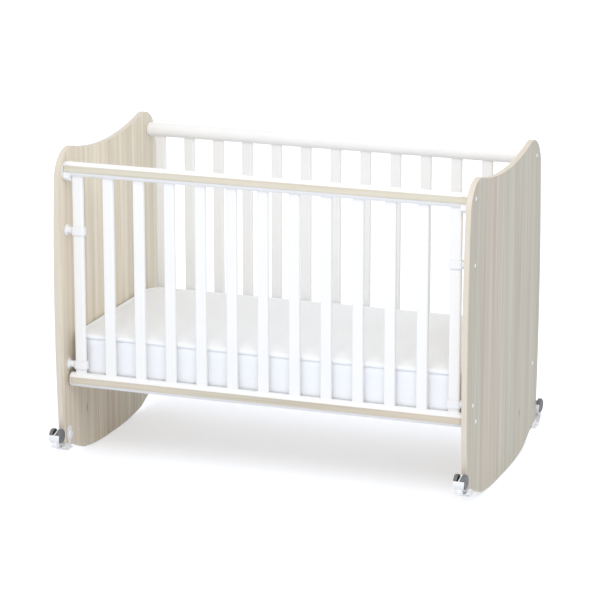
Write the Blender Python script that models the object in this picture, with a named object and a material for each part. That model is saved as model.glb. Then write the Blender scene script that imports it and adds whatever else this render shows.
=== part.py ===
"""Rocking crib for a 60 by 120 cm mattress.

Two end panels with rocker feet carry a fixed back side, a drop side in front and
a slatted bed base.  The drop side slides down through four ring guides.  A caster
hangs at each lower corner, folded up beside the panel, and turns over on a hinge
to stand under the corner.

Metres, +Z up.  X runs along the crib, the front is at -Y, the floor is Z = 0.
"""
import math

import bmesh
import bpy
from mathutils import Vector

# Fits
FIT_GAP = 0.0003            # between pieces that touch
SLIDE_GAP = 0.0006          # around a sliding post
TURN_GAP = 0.0004           # around a pin or axle
OVERRUN = 0.004             # how far a cutter runs past the wall that it cuts
WELD = 0.0015               # how deep one part of a moulding enters the next
SHARP_ANGLE = math.radians(30)   # edges that turn more than this are shaded sharp

# End panels: laminated board cut to one outline
PANEL_SPAN = 1.249          # over both panels
PANEL_THICKNESS = 0.016
PANEL_DEPTH = 0.745         # at the widest height
PANEL_WIDEST_HEIGHT = 0.467
PANEL_SIDE_RADIUS = 4.8     # slow bow of the front and back edges
PANEL_DIP_HEIGHT = 0.9085   # middle of the top edge
PANEL_DIP_RADIUS = 1.05
PANEL_TOP_CORNER_RADIUS = 0.088
PANEL_LOW_CORNER_RADIUS = 0.015
PANEL_EDGE_ROUND = 0.0015
PANEL_BANDING_ANGLE = math.radians(50)   # corners sharper than this get the round
ROCKER_FLAT = 0.060         # short flat on which the crib comes to rest
ROCKER_END_ANGLE = math.radians(8.4)
FOOT_RADIUS = 0.100         # where the rocker turns up into the ramp
RAMP_ANGLE = math.radians(23)
RAMP_HEAD_RADIUS = 0.080    # where the ramp levels out into the seat
SEAT_HEIGHT = 0.050         # raised seat over each caster
SEAT_LENGTH = 0.0555        # from the panel's widest edge to the ramp's head
CAP_RADIUS = 0.006          # screw covers on the outer faces
CAP_HEIGHT = 0.0014
CAP_EDGE_SHARE = 0.35       # height of a cover's rim
CAP_CROWN_SHARE = 0.55      # radius of a cover's flat middle
SCREW_RISE = 0.007          # top screws sit this much above the rail's axis

# Front and back sides
SIDE_INSET = 0.0625         # from the panel's widest edge to the slats' middle
RAIL_RADIUS = 0.021
TOP_RAIL_DROP = 0.0245      # drop side's top rail, below the panel's dip
BACK_RAIL_DROP = 0.0032     # back top rail, below the drop side's
BOTTOM_RAIL_HEIGHT = 0.254
UPRIGHT_COUNT = 13          # a side's slats, with the drop side's two posts
END_UPRIGHT_INSET = 0.0385  # from the panel to the outermost upright's middle
SLAT_WIDTH = 0.0334
SLAT_THICKNESS = 0.014
SLAT_EDGE_RADIUS = 0.005
SOCKET_DEPTH = 0.012        # how far a slat enters its rail

# Wood strip along the front of each front rail
STRIP_HEIGHT = 0.018
STRIP_THICKNESS = 0.003
STRIP_PROUD = 0.001         # in front of the round rail
STRIP_EDGE = 0.0008
TOP_STRIP_TILT = math.radians(10.5)      # how far a strip and its flat face upwards
BOTTOM_STRIP_TILT = math.radians(3.5)
TOP_STRIP_END_GAP = 0.001   # from the end fitting's outer face
BOTTOM_STRIP_END_GAP = 0.005

# Drop side
SIDE_TRAVEL = 0.133
STOP_GAP = 0.0015
SIDE_END_GAP = 0.0033       # from the panel to the end fitting
BOTTOM_RAIL_END_GAP = 0.0075
FITTING_RADIUS = 0.029
FITTING_DROP = 0.0065       # below the top rail's axis
FITTING_EDGE = 0.003
RAIL_END_DEPTH = 0.0125     # how far the top rail enters the end fitting
PLATE_RADIUS = 0.027        # catch plate screwed to the panel
PLATE_THICKNESS = 0.0022
DIMPLE_RADIUS = 0.004
DIMPLE_DEPTH = 0.0012

# Ring guides
GUIDE_HEIGHT = 0.024
GUIDE_WALL = 0.004
GUIDE_CORNER_RADIUS = 0.009
GUIDE_EDGE = 0.0015
GUIDE_LIFT = 0.0125         # lower guide above the bottom rail
GUIDE_ARM_RADIUS = 0.0098
FLANGE_RADIUS = 0.017
FLANGE_THICKNESS = 0.0025

# Bed base
BASE_RISE = 0.007           # base top above the bottom rail's axis
BASE_RAIL_WIDTH = 0.016
BASE_RAIL_HEIGHT = 0.035
BASE_RAIL_GAP = 0.002       # from the round bottom rail
BASE_SLAT_COUNT = 11
BASE_SLAT_WIDTH = 0.060
BASE_SLAT_THICKNESS = 0.012
BASE_SLAT_DROP = 0.001      # below the top of the base's rails
BASE_END_GAP = 0.012        # from the panel to the first base slat

# Mattress
MATTRESS_THICKNESS = 0.119
MATTRESS_END_GAP = 0.0105
MATTRESS_SIDE_GAP = 0.0085
MATTRESS_CORNER_RADIUS = 0.045
MATTRESS_FOOT_RADIUS = 0.020
MATTRESS_DRAWN_IN = 0.003   # waist of the border between foot and piping
MATTRESS_CROWN = 0.008
PIPING_RADIUS = 0.0045
PIPING_START_ANGLE = math.radians(255)   # where the border runs into the piping
PIPING_END_ANGLE = math.radians(75)      # where the top runs into it
BORDER_SHARES = (0.25, 0.5, 0.75)        # rings up the border
CROWN_SHARES = (0.06, 0.14, 0.26, 0.42, 0.62, 0.85)   # rings from the piping inwards

# Caster brackets, one at each lower corner of the panels
HINGE_INSET = 0.0175        # from the panel's widest edge to the hinge pin
HINGE_DROP = 0.001          # hinge pin under the seat
HINGE_WIDTH = 0.038
HINGE_SPLIT_SHARE = 0.25    # half the middle knuckle, of the hinge's width
KNUCKLE_RADIUS = 0.003
HINGE_PIN_RADIUS = 0.0015
HINGE_PLATE = 0.0025        # thickness of the bracket's web and of the leaf
WEB_END_GAP = 0.001         # from the ramp's head to the web's end
WEB_CORNER_RADIUS = 0.003
TAB_WIDTH = 0.027           # upright tab on the panel's inner face
TAB_HEIGHT = 0.064
TAB_THICKNESS = 0.0025
TAB_OFFSET = 0.0335         # tab's middle from the hinge pin
BOSS_RADIUS = 0.012
BOSS_HEIGHT = 0.0045
BOSS_LIFT = 0.036           # boss above the hinge pin
BOSS_EDGE = 0.001

# Casters
STOWED_TILT = math.radians(17)   # how far the folded leaf slopes up from the hinge
LEAF_SHOULDER = 0.021       # how far the leaf keeps its full width from the pin
SWIVEL_OFFSET = 0.0534      # swivel axis from the hinge pin
LEAF_END_RADIUS = 0.0115    # leaf's round end, about the swivel axis
SWIVEL_SEAT_RADIUS = 0.0105
SWIVEL_SEAT_HEIGHT = 0.0015
STEM_RADIUS = 0.0035
STEM_HEAD_RADIUS = 0.0062   # countersunk head that keeps the stem in the leaf
RACEWAY_RADIUS = 0.0112     # dust ring at the foot of the neck
RACEWAY_HEIGHT = 0.0026
NECK_RADIUS = 0.0085
NECK_HEIGHT = 0.0057        # from the swivel seat to the hood's shell
TRAIL = 0.006               # wheel axle from the swivel axis
WHEEL_RADIUS = 0.0225
WHEEL_OUTER_HALF = 0.0175   # half the width over both wheels
WHEEL_INNER_HALF = 0.005
WHEEL_ROUND = 0.0035
WHEEL_DISH = 0.0012
WHEEL_HUB_RADIUS = 0.008
AXLE_RADIUS = 0.003
HOOD_DISC_RADIUS = 0.017    # middle web between the wheels
HOOD_RIB_HALF = 0.0040      # half thickness of the rib from the middle web to the shell
HOOD_HALF = 0.0168
HOOD_CLEARANCE = 0.0017     # over the tyres
HOOD_SHELL = 0.0025
HOOD_START_ANGLE = math.radians(180)
HOOD_END_ANGLE = math.radians(350)

# Places worked out from the sizes above
INNER_HALF = PANEL_SPAN / 2 - PANEL_THICKNESS
PANEL_MIDDLE = PANEL_SPAN / 2 - PANEL_THICKNESS / 2
SIDE_Y = PANEL_DEPTH / 2 - SIDE_INSET
TOP_RAIL_HEIGHT = PANEL_DIP_HEIGHT - TOP_RAIL_DROP
BACK_RAIL_HEIGHT = TOP_RAIL_HEIGHT - BACK_RAIL_DROP
END_UPRIGHT_X = INNER_HALF - END_UPRIGHT_INSET
FLAT_DISTANCE = RAIL_RADIUS + STRIP_PROUD - STRIP_THICKNESS - FIT_GAP
FITTING_INNER_X = END_UPRIGHT_X + SLAT_WIDTH / 2 + FIT_GAP
FITTING_OUTER_X = INNER_HALF - SIDE_END_GAP
FITTING_HEIGHT = TOP_RAIL_HEIGHT - FITTING_DROP
UPPER_GUIDE_HEIGHT = FITTING_HEIGHT - FITTING_RADIUS - STOP_GAP - SIDE_TRAVEL - GUIDE_HEIGHT / 2
LOWER_GUIDE_HEIGHT = BOTTOM_RAIL_HEIGHT + RAIL_RADIUS + GUIDE_LIFT + GUIDE_HEIGHT / 2
BASE_Y = SIDE_Y - RAIL_RADIUS - BASE_RAIL_GAP - BASE_RAIL_WIDTH / 2
BASE_TOP = BOTTOM_RAIL_HEIGHT + BASE_RISE
HINGE_Y = PANEL_DEPTH / 2 - HINGE_INSET
HINGE_HEIGHT = SEAT_HEIGHT - HINGE_DROP
HINGE_SPLIT = HINGE_WIDTH * HINGE_SPLIT_SHARE
PLATE_SETBACK = KNUCKLE_RADIUS + TURN_GAP       # plates stay this far from the pin
WEB_TOP = HINGE_DROP - FIT_GAP                  # heights about the pin, up to LEAF_FAR
WEB_BOTTOM = WEB_TOP - HINGE_PLATE
WEB_LENGTH = SEAT_LENGTH - HINGE_INSET - WEB_END_GAP
LEAF_NEAR = FIT_GAP - WEB_BOTTOM
LEAF_FAR = LEAF_NEAR + HINGE_PLATE
HOOD_BASE = LEAF_FAR + SWIVEL_SEAT_HEIGHT + FIT_GAP
WHEEL_LIFT = HOOD_BASE + NECK_HEIGHT + HOOD_SHELL + HOOD_CLEARANCE + WHEEL_RADIUS

# Colour, roughness and metallic value of each material
MATERIALS = {
    "oak_laminate": ((0.62, 0.56, 0.47, 1.0), 0.55, 0.0),
    "oak_strip": ((0.72, 0.65, 0.55, 1.0), 0.5, 0.0),
    "white_lacquer": ((0.86, 0.86, 0.86, 1.0), 0.4, 0.0),
    "white_plastic": ((0.84, 0.84, 0.84, 1.0), 0.35, 0.0),
    "birch_slats": ((0.71, 0.58, 0.41, 1.0), 0.6, 0.0),
    "mattress_cloth": ((0.90, 0.90, 0.90, 1.0), 0.9, 0.0),
    "grey_wheel": ((0.16, 0.16, 0.16, 1.0), 0.5, 0.0),
}


def clear_scene():
    for old in list(bpy.data.objects):
        bpy.data.objects.remove(old, do_unlink=True)


def make_materials():
    for name, (colour, roughness, metallic) in MATERIALS.items():
        material = bpy.data.materials.new(name)
        material.use_nodes = True
        shader = material.node_tree.nodes["Principled BSDF"]
        shader.inputs["Base Color"].default_value = colour
        shader.inputs["Roughness"].default_value = roughness
        shader.inputs["Metallic"].default_value = metallic
        material.diffuse_color = colour


# Outlines: lists of (u, v) points

def arc(centre, radius, start, end, steps):
    """Points of an arc, both ends included."""
    points = []
    for i in range(steps + 1):
        angle = start + (end - start) * i / steps
        points.append((centre[0] + radius * math.cos(angle), centre[1] + radius * math.sin(angle)))
    return points


def circle(radius, sides, centre=(0, 0)):
    return arc(centre, radius, 0, 2 * math.pi, sides)[:-1]


def rounded_rectangle(half_u, half_v, radius, steps):
    points = []
    for quarter in range(4):
        sign_u = 1 if quarter in (0, 3) else -1
        sign_v = 1 if quarter in (0, 1) else -1
        centre = (sign_u * (half_u - radius), sign_v * (half_v - radius))
        start = quarter * math.pi / 2
        points += arc(centre, radius, start, start + math.pi / 2, steps)
    return points


def flatted_circle(radius, flat_distance, sides):
    """A round bar's section with a flat on its -u side."""
    half_angle = math.acos(flat_distance / radius)
    return arc((0, 0), radius, half_angle - math.pi, math.pi - half_angle, sides)


def tilted(outline, angle):
    """A (y, z) outline turned about its origin, so that its -y side comes up."""
    cosine, sine = math.cos(angle), math.sin(angle)
    return [(y * cosine + z * sine, z * cosine - y * sine) for y, z in outline]


def circles_meet(first, first_radius, second, second_radius):
    """The crossing of two circles that has the larger u."""
    between = Vector(second) - Vector(first)
    distance = between.length
    along = (distance ** 2 + first_radius ** 2 - second_radius ** 2) / (2 * distance)
    across = math.sqrt(first_radius ** 2 - along ** 2)
    middle = Vector(first) + between * along / distance
    normal = Vector((-between.y, between.x)) / distance
    options = (middle + normal * across, middle - normal * across)
    return max(options, key=lambda point: point.x)


def rocker_outline():
    """From the middle of the rocker to the ramp's head, on +Y.

    The rocker's radius follows from where the seat starts: the flat, the rocker, the
    foot's turn, the straight ramp and its head add up to that place and height.
    """
    sin_end, cos_end = math.sin(ROCKER_END_ANGLE), math.cos(ROCKER_END_ANGLE)
    sin_ramp, cos_ramp = math.sin(RAMP_ANGLE), math.cos(RAMP_ANGLE)
    seat_start = PANEL_DEPTH / 2 - SEAT_LENGTH
    run = seat_start - ROCKER_FLAT / 2 - FOOT_RADIUS * (sin_ramp - sin_end) - RAMP_HEAD_RADIUS * sin_ramp
    rise = SEAT_HEIGHT - FOOT_RADIUS * (cos_end - cos_ramp) - RAMP_HEAD_RADIUS * (1 - cos_ramp)
    radius = (run * sin_ramp - rise * cos_ramp) / (sin_end * sin_ramp - (1 - cos_end) * cos_ramp)
    down = -math.pi / 2
    points = arc((ROCKER_FLAT / 2, radius), radius, down, down + ROCKER_END_ANGLE, 6)
    rocker_end = points[-1]
    foot_centre = (rocker_end[0] - FOOT_RADIUS * sin_end, rocker_end[1] + FOOT_RADIUS * cos_end)
    points += arc(foot_centre, FOOT_RADIUS, down + ROCKER_END_ANGLE, down + RAMP_ANGLE, 3)[1:]
    head_centre = (seat_start, SEAT_HEIGHT - RAMP_HEAD_RADIUS)
    return points + arc(head_centre, RAMP_HEAD_RADIUS, math.pi / 2 + RAMP_ANGLE, math.pi / 2, 4)


def half_panel_outline():
    """The end panel's outline on +Y, from the rocker's middle up to the dip."""
    points = rocker_outline()
    side_centre = Vector((PANEL_DEPTH / 2 - PANEL_SIDE_RADIUS, PANEL_WIDEST_HEIGHT))
    low_height = SEAT_HEIGHT + PANEL_LOW_CORNER_RADIUS
    low_reach = PANEL_SIDE_RADIUS - PANEL_LOW_CORNER_RADIUS
    low_drop = low_height - side_centre.y
    low_centre = Vector((side_centre.x + math.sqrt(low_reach ** 2 - low_drop ** 2), low_height))
    low_angle = math.asin(low_drop / low_reach)
    points += arc(low_centre, PANEL_LOW_CORNER_RADIUS, -math.pi / 2, low_angle, 5)

    dip_centre = Vector((0, PANEL_DIP_HEIGHT + PANEL_DIP_RADIUS))
    top_centre = circles_meet(side_centre, PANEL_SIDE_RADIUS - PANEL_TOP_CORNER_RADIUS,
                              dip_centre, PANEL_DIP_RADIUS + PANEL_TOP_CORNER_RADIUS)
    from_side = top_centre - side_centre
    top_angle = math.atan2(from_side.y, from_side.x)
    points += arc(side_centre, PANEL_SIDE_RADIUS, low_angle, top_angle, 9)[1:]
    to_dip = dip_centre - top_centre
    turn_angle = math.atan2(to_dip.y, to_dip.x)
    points += arc(top_centre, PANEL_TOP_CORNER_RADIUS, top_angle, turn_angle, 10)[1:]
    points += arc(dip_centre, PANEL_DIP_RADIUS, turn_angle - math.pi, -math.pi / 2, 8)[1:]
    return points


# Solids

def along_x(outline, x):
    return [Vector((x, u, v)) for u, v in outline]


def along_z(outline, z):
    return [Vector((u, v, z)) for u, v in outline]


def loft(rings):
    """A closed body through rings of equally many points, capped at both ends."""
    body = bmesh.new()
    rows = [[body.verts.new(point) for point in ring] for ring in rings]
    for near, far in zip(rows, rows[1:]):
        for i in range(len(near)):
            j = (i + 1) % len(near)
            body.faces.new((near[i], near[j], far[j], far[i]))
    body.faces.new(rows[0][::-1])
    body.faces.new(rows[-1])
    bmesh.ops.recalc_face_normals(body, faces=body.faces)
    mesh = bpy.data.meshes.new("body")
    body.to_mesh(mesh)
    body.free()
    return mesh


def bar_x(outline, start, end):
    """A (y, z) outline drawn out along X."""
    return loft([along_x(outline, start), along_x(outline, end)])


def bar_z(outline, start, end):
    """An (x, y) outline drawn out along Z."""
    return loft([along_z(outline, start), along_z(outline, end)])


def turned_x(profile, sides, centre=(0, 0)):
    """A body turned about X, from (x, radius) points."""
    return loft([along_x(circle(radius, sides, centre), x) for x, radius in profile])


def turned_z(profile, sides, centre=(0, 0)):
    """A body turned about Z, from (z, radius) points."""
    return loft([along_z(circle(radius, sides, centre), z) for z, radius in profile])


def moved(mesh, x=0, y=0, z=0):
    for vertex in mesh.vertices:
        vertex.co += Vector((x, y, z))
    return mesh


def gathered(meshes):
    """Several separate bodies in one mesh, for a Boolean."""
    body = bmesh.new()
    for mesh in meshes:
        body.from_mesh(mesh)
    mesh = bpy.data.meshes.new("group")
    body.to_mesh(mesh)
    body.free()
    return mesh


def combined(mesh, *steps):
    """The mesh after Boolean steps, each an ("UNION" or "DIFFERENCE", mesh) pair."""
    base = bpy.data.objects.new("base", mesh)
    bpy.context.collection.objects.link(base)
    helpers = []
    for operation, tool_mesh in steps:
        tool = bpy.data.objects.new("tool", tool_mesh)
        bpy.context.collection.objects.link(tool)
        helpers.append(tool)
        boolean = base.modifiers.new(operation.lower(), "BOOLEAN")
        boolean.solver = "EXACT"
        boolean.operation = operation
        boolean.object = tool
    graph = bpy.context.evaluated_depsgraph_get()
    result = bpy.data.meshes.new_from_object(base.evaluated_get(graph))
    for helper in helpers + [base]:
        bpy.data.objects.remove(helper, do_unlink=True)
    return result


def place(name, mesh, material, location=(0, 0, 0), parent=None):
    """A named piece with its origin at location, in its parent's frame."""
    mesh.name = name
    mesh.materials.clear()
    mesh.materials.append(bpy.data.materials[material])
    mesh.shade_smooth()
    mesh.set_sharp_from_angle(angle=SHARP_ANGLE)
    piece = bpy.data.objects.new(name, mesh)
    piece.location = location
    piece.parent = parent
    bpy.context.collection.objects.link(piece)
    return piece


def frame_at(name, location, parent=None, turn=0, tilt=0):
    """An empty that carries pieces, turned about Z or tilted about X."""
    empty = bpy.data.objects.new(name, None)
    empty.empty_display_size = FLANGE_RADIUS
    empty.location = location
    empty.rotation_euler = (tilt, 0, turn)
    empty.parent = parent
    bpy.context.collection.objects.link(empty)
    return empty


# End panels

def screw_places():
    """(y, z) of the screw covers on a panel's outer face."""
    return (
        (-SIDE_Y, TOP_RAIL_HEIGHT + SCREW_RISE),
        (-SIDE_Y, UPPER_GUIDE_HEIGHT),
        (-SIDE_Y, LOWER_GUIDE_HEIGHT),
        (-BASE_Y, BASE_TOP - BASE_RAIL_HEIGHT / 2),
        (SIDE_Y, BACK_RAIL_HEIGHT + SCREW_RISE),
        (SIDE_Y, BOTTOM_RAIL_HEIGHT),
    )


def screw_covers(side):
    """Low domes just outside the panel on the given side, -1 or 1."""
    face = side * PANEL_SPAN / 2
    covers = []
    for centre in screw_places():
        profile = [(face - side * WELD, CAP_RADIUS),
                   (face + side * CAP_HEIGHT * CAP_EDGE_SHARE, CAP_RADIUS),
                   (face + side * CAP_HEIGHT, CAP_RADIUS * CAP_CROWN_SHARE)]
        covers.append(turned_x(profile, 12, centre))
    return gathered(covers)


def make_panels():
    right_half = half_panel_outline()
    left_half = [(-y, z) for y, z in reversed(right_half[:-1])]
    outline = right_half + left_half
    for name, side in (("end_panel_left", -1), ("end_panel_right", 1)):
        board = bar_x(outline, side * INNER_HALF, side * PANEL_SPAN / 2)
        panel = place(name, board, "oak_laminate")
        edge = panel.modifiers.new("edge banding", "BEVEL")
        edge.width = PANEL_EDGE_ROUND
        edge.segments = 1
        edge.limit_method = "ANGLE"
        edge.angle_limit = PANEL_BANDING_ANGLE
        covers = bpy.data.objects.new(name + " screw covers", screw_covers(side))
        covers.hide_render = True
        covers.display_type = "WIRE"
        bpy.context.collection.objects.link(covers)
        join = panel.modifiers.new("screw covers", "BOOLEAN")
        join.operation = "UNION"
        join.solver = "EXACT"
        join.object = covers


# Rails, slats and strips

def upright_places():
    step = 2 * END_UPRIGHT_X / (UPRIGHT_COUNT - 1)
    return [-END_UPRIGHT_X + step * i for i in range(UPRIGHT_COUNT)]


def slat_outline(clearance=0):
    return rounded_rectangle(SLAT_WIDTH / 2 + clearance, SLAT_THICKNESS / 2 + clearance,
                             SLAT_EDGE_RADIUS + clearance, 2)


def sockets(facing):
    """Mortises for the slats, in a rail whose axis is X; facing is 1 for the rail's top."""
    floor = facing * (RAIL_RADIUS - SOCKET_DEPTH - FIT_GAP)
    mouth = facing * (RAIL_RADIUS + OVERRUN)
    cutters = []
    for x in upright_places():
        cutters.append(moved(bar_z(slat_outline(FIT_GAP), floor, mouth), x))
    return gathered(cutters)


def make_rail(name, section, half_length, facing, height, frame):
    rail = bar_x(section, -half_length, half_length)
    mesh = combined(rail, ("DIFFERENCE", sockets(facing)))
    place(name, mesh, "white_lacquer", (0, 0, height), frame)


def make_uprights(prefix, rail_height, frame):
    """The slats of one side; the drop side's two outermost ones are its posts."""
    bottom = BOTTOM_RAIL_HEIGHT + RAIL_RADIUS - SOCKET_DEPTH
    top = rail_height - RAIL_RADIUS + SOCKET_DEPTH
    for i, x in enumerate(upright_places()):
        name = f"{prefix}_slat_{i + 1:02d}"
        if prefix == "front" and i == 0:
            name = "front_post_left"
        elif prefix == "front" and i == UPRIGHT_COUNT - 1:
            name = "front_post_right"
        place(name, bar_z(slat_outline(), 0, top - bottom), "white_lacquer", (x, 0, bottom), frame)


def make_strip(name, half_length, height, tilt, frame):
    """Strip along a rail's flat, its section drawn about the rail's axis."""
    half = STRIP_HEIGHT / 2
    front = -RAIL_RADIUS - STRIP_PROUD
    back = front + STRIP_THICKNESS
    section = [(back, -half), (back, half), (front + STRIP_EDGE, half), (front, half - STRIP_EDGE),
               (front, STRIP_EDGE - half), (front + STRIP_EDGE, -half)]
    strip = bar_x(tilted(section, tilt), -half_length, half_length)
    place(name, strip, "oak_strip", (0, 0, height), frame)


def make_back_side():
    frame = frame_at("back_side", (0, SIDE_Y, 0))
    section = circle(RAIL_RADIUS, 24)
    half = INNER_HALF - FIT_GAP
    make_rail("back_top_rail", section, half, -1, BACK_RAIL_HEIGHT, frame)
    make_rail("back_bottom_rail", section, half, 1, BOTTOM_RAIL_HEIGHT, frame)
    make_uprights("back", BACK_RAIL_HEIGHT, frame)


def make_end_fitting(name, side, frame):
    """Cup over the top rail's end, with a flat where the wood strip passes."""
    inner, outer = side * FITTING_INNER_X, side * FITTING_OUTER_X
    rim = side * FITTING_EDGE
    cup = turned_x([(inner, FITTING_RADIUS), (outer - rim, FITTING_RADIUS),
                    (outer, FITTING_RADIUS - FITTING_EDGE)], 32, (0, -FITTING_DROP))
    bore_end = inner + side * (RAIL_END_DEPTH + FIT_GAP)
    bore = bar_x(circle(RAIL_RADIUS + FIT_GAP, 24), inner - side * OVERRUN, bore_end)
    front = -FITTING_RADIUS - OVERRUN
    flat_section = [(front, front - FITTING_DROP), (-FLAT_DISTANCE, front - FITTING_DROP),
                    (-FLAT_DISTANCE, -front), (front, -front)]
    flat = bar_x(tilted(flat_section, TOP_STRIP_TILT), inner - side * OVERRUN, outer + side * OVERRUN)
    mesh = combined(cup, ("DIFFERENCE", bore), ("DIFFERENCE", flat))
    place(name, mesh, "white_plastic", (0, 0, TOP_RAIL_HEIGHT), frame)


def make_drop_side():
    """Everything that slides; its frame's origin is on the slide's axis."""
    frame = frame_at("drop_side", (0, -SIDE_Y, 0))
    section = flatted_circle(RAIL_RADIUS, FLAT_DISTANCE, 22)
    top_section = tilted(section, TOP_STRIP_TILT)
    bottom_section = tilted(section, BOTTOM_STRIP_TILT)
    top_half = FITTING_INNER_X + RAIL_END_DEPTH
    bottom_half = INNER_HALF - BOTTOM_RAIL_END_GAP
    top_strip_half = FITTING_OUTER_X - TOP_STRIP_END_GAP
    bottom_strip_half = bottom_half - BOTTOM_STRIP_END_GAP
    make_rail("front_top_rail", top_section, top_half, -1, TOP_RAIL_HEIGHT, frame)
    make_rail("front_bottom_rail", bottom_section, bottom_half, 1, BOTTOM_RAIL_HEIGHT, frame)
    make_uprights("front", TOP_RAIL_HEIGHT, frame)
    make_strip("front_top_strip", top_strip_half, TOP_RAIL_HEIGHT, TOP_STRIP_TILT, frame)
    make_strip("front_bottom_strip", bottom_strip_half, BOTTOM_RAIL_HEIGHT, BOTTOM_STRIP_TILT, frame)
    make_end_fitting("end_fitting_left", -1, frame)
    make_end_fitting("end_fitting_right", 1, frame)


# Ring guides and catch plates, fixed to the panels

def make_guide(name, side, height):
    """Flange, arm and ring in one moulding; the post slides through the ring."""
    face = side * (INNER_HALF - FIT_GAP)
    flange_end = face - side * FLANGE_THICKNESS
    flange = turned_x([(face, FLANGE_RADIUS), (flange_end + side * GUIDE_EDGE / 2, FLANGE_RADIUS),
                       (flange_end, FLANGE_RADIUS - GUIDE_EDGE)], 20)
    post = side * END_UPRIGHT_X
    arm = turned_x([(flange_end + side * WELD, GUIDE_ARM_RADIUS), (post, GUIDE_ARM_RADIUS)], 16)
    reach = SLIDE_GAP + GUIDE_WALL
    half_u, half_v = SLAT_WIDTH / 2 + reach, SLAT_THICKNESS / 2 + reach
    half_height = GUIDE_HEIGHT / 2
    rings = []
    for inset, z in ((GUIDE_EDGE, -half_height), (0, GUIDE_EDGE - half_height),
                     (0, half_height - GUIDE_EDGE), (GUIDE_EDGE, half_height)):
        outline = rounded_rectangle(half_u - inset, half_v - inset, GUIDE_CORNER_RADIUS - inset, 4)
        rings.append(along_z(outline, z))
    ring = moved(loft(rings), post)
    hole = moved(bar_z(slat_outline(SLIDE_GAP), -half_height - OVERRUN, half_height + OVERRUN), post)
    mesh = combined(flange, ("UNION", arm), ("UNION", ring), ("DIFFERENCE", hole))
    place(name, mesh, "white_plastic", (0, -SIDE_Y, height))


def make_catch_plate(name, side):
    """Round plate with a dimple for the end fitting's sprung nose."""
    face = side * (INNER_HALF - FIT_GAP)
    front = face - side * PLATE_THICKNESS
    plate = turned_x([(face, PLATE_RADIUS), (front, PLATE_RADIUS)], 24)
    dimple = turned_x([(front + side * DIMPLE_DEPTH, DIMPLE_RADIUS / 2),
                       (front, DIMPLE_RADIUS), (front - side * OVERRUN, DIMPLE_RADIUS)], 10)
    mesh = combined(plate, ("DIFFERENCE", dimple))
    place(name, mesh, "white_plastic", (0, -SIDE_Y, FITTING_HEIGHT))


def make_guides():
    for word, side in (("left", -1), ("right", 1)):
        make_guide("upper_guide_" + word, side, UPPER_GUIDE_HEIGHT)
        make_guide("lower_guide_" + word, side, LOWER_GUIDE_HEIGHT)
        make_catch_plate("catch_plate_" + word, side)


# Bed base and mattress

def make_bed_base():
    """Two side rails with cross slats let into them."""
    half = INNER_HALF - FIT_GAP
    section = rounded_rectangle(BASE_RAIL_WIDTH / 2, BASE_RAIL_HEIGHT / 2, BASE_SLAT_DROP, 1)
    middle = BASE_TOP - BASE_RAIL_HEIGHT / 2
    rails = [moved(bar_x(section, -half, half), 0, y, middle) for y in (-BASE_Y, BASE_Y)]
    slat_top = BASE_TOP - BASE_SLAT_DROP
    outermost = INNER_HALF - BASE_END_GAP - BASE_SLAT_WIDTH / 2
    step = 2 * outermost / (BASE_SLAT_COUNT - 1)
    slats = []
    for i in range(BASE_SLAT_COUNT):
        outline = rounded_rectangle(BASE_SLAT_WIDTH / 2, BASE_Y, BASE_SLAT_DROP, 1)
        slat = bar_z(outline, slat_top - BASE_SLAT_THICKNESS, slat_top)
        slats.append(moved(slat, -outermost + step * i))
    mesh = combined(gathered(slats), ("UNION", gathered(rails)))
    place("bed_base", mesh, "birch_slats")


def mattress_profile():
    """(inset, height) from the foot up the border and round the piping."""
    foot = arc((MATTRESS_FOOT_RADIUS, MATTRESS_FOOT_RADIUS), MATTRESS_FOOT_RADIUS,
               -math.pi / 2, -math.pi, 3)
    piping_middle = MATTRESS_THICKNESS - PIPING_RADIUS
    border_rise = piping_middle - PIPING_RADIUS - MATTRESS_FOOT_RADIUS
    border = [(MATTRESS_DRAWN_IN * math.sin(math.pi * share), MATTRESS_FOOT_RADIUS + border_rise * share)
              for share in BORDER_SHARES]
    piping = arc((PIPING_RADIUS, piping_middle), PIPING_RADIUS,
                 PIPING_START_ANGLE, PIPING_END_ANGLE, 5)
    return foot + border + piping


def make_mattress():
    half_x = INNER_HALF - MATTRESS_END_GAP
    half_y = SIDE_Y - SLAT_THICKNESS / 2 - MATTRESS_SIDE_GAP
    bottom = BASE_TOP + FIT_GAP
    top = bottom + MATTRESS_THICKNESS - PIPING_RADIUS / 2
    rings = []
    for inset, height in mattress_profile():
        corner = MATTRESS_CORNER_RADIUS - inset
        outline = rounded_rectangle(half_x - inset, half_y - inset, corner, 6)
        rings.append(along_z(outline, bottom + height))
    for share in CROWN_SHARES:
        inset = 2 * PIPING_RADIUS + (half_y - 2 * PIPING_RADIUS) * share
        rise = MATTRESS_CROWN * math.sin(share * math.pi / 2)
        corner = max(MATTRESS_CORNER_RADIUS - inset, PIPING_RADIUS)
        outline = rounded_rectangle(half_x - inset, half_y - inset, corner, 6)
        rings.append(along_z(outline, top + rise))
    place("mattress", loft(rings), "mattress_cloth")


# Casters: drawn with the hinge pin at the origin, the crib's middle on +Y

def web_outline():
    """The bracket's web on +Y, which reaches the pin beside the middle knuckle."""
    half = HINGE_WIDTH / 2
    inner = HINGE_SPLIT + FIT_GAP / 2
    corner = (half - WEB_CORNER_RADIUS, WEB_LENGTH - WEB_CORNER_RADIUS)
    right = [(inner, PLATE_SETBACK), (inner, 0), (half, 0)]
    right += arc(corner, WEB_CORNER_RADIUS, 0, math.pi / 2, 3)
    return right + [(-x, y) for x, y in reversed(right)]


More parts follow.
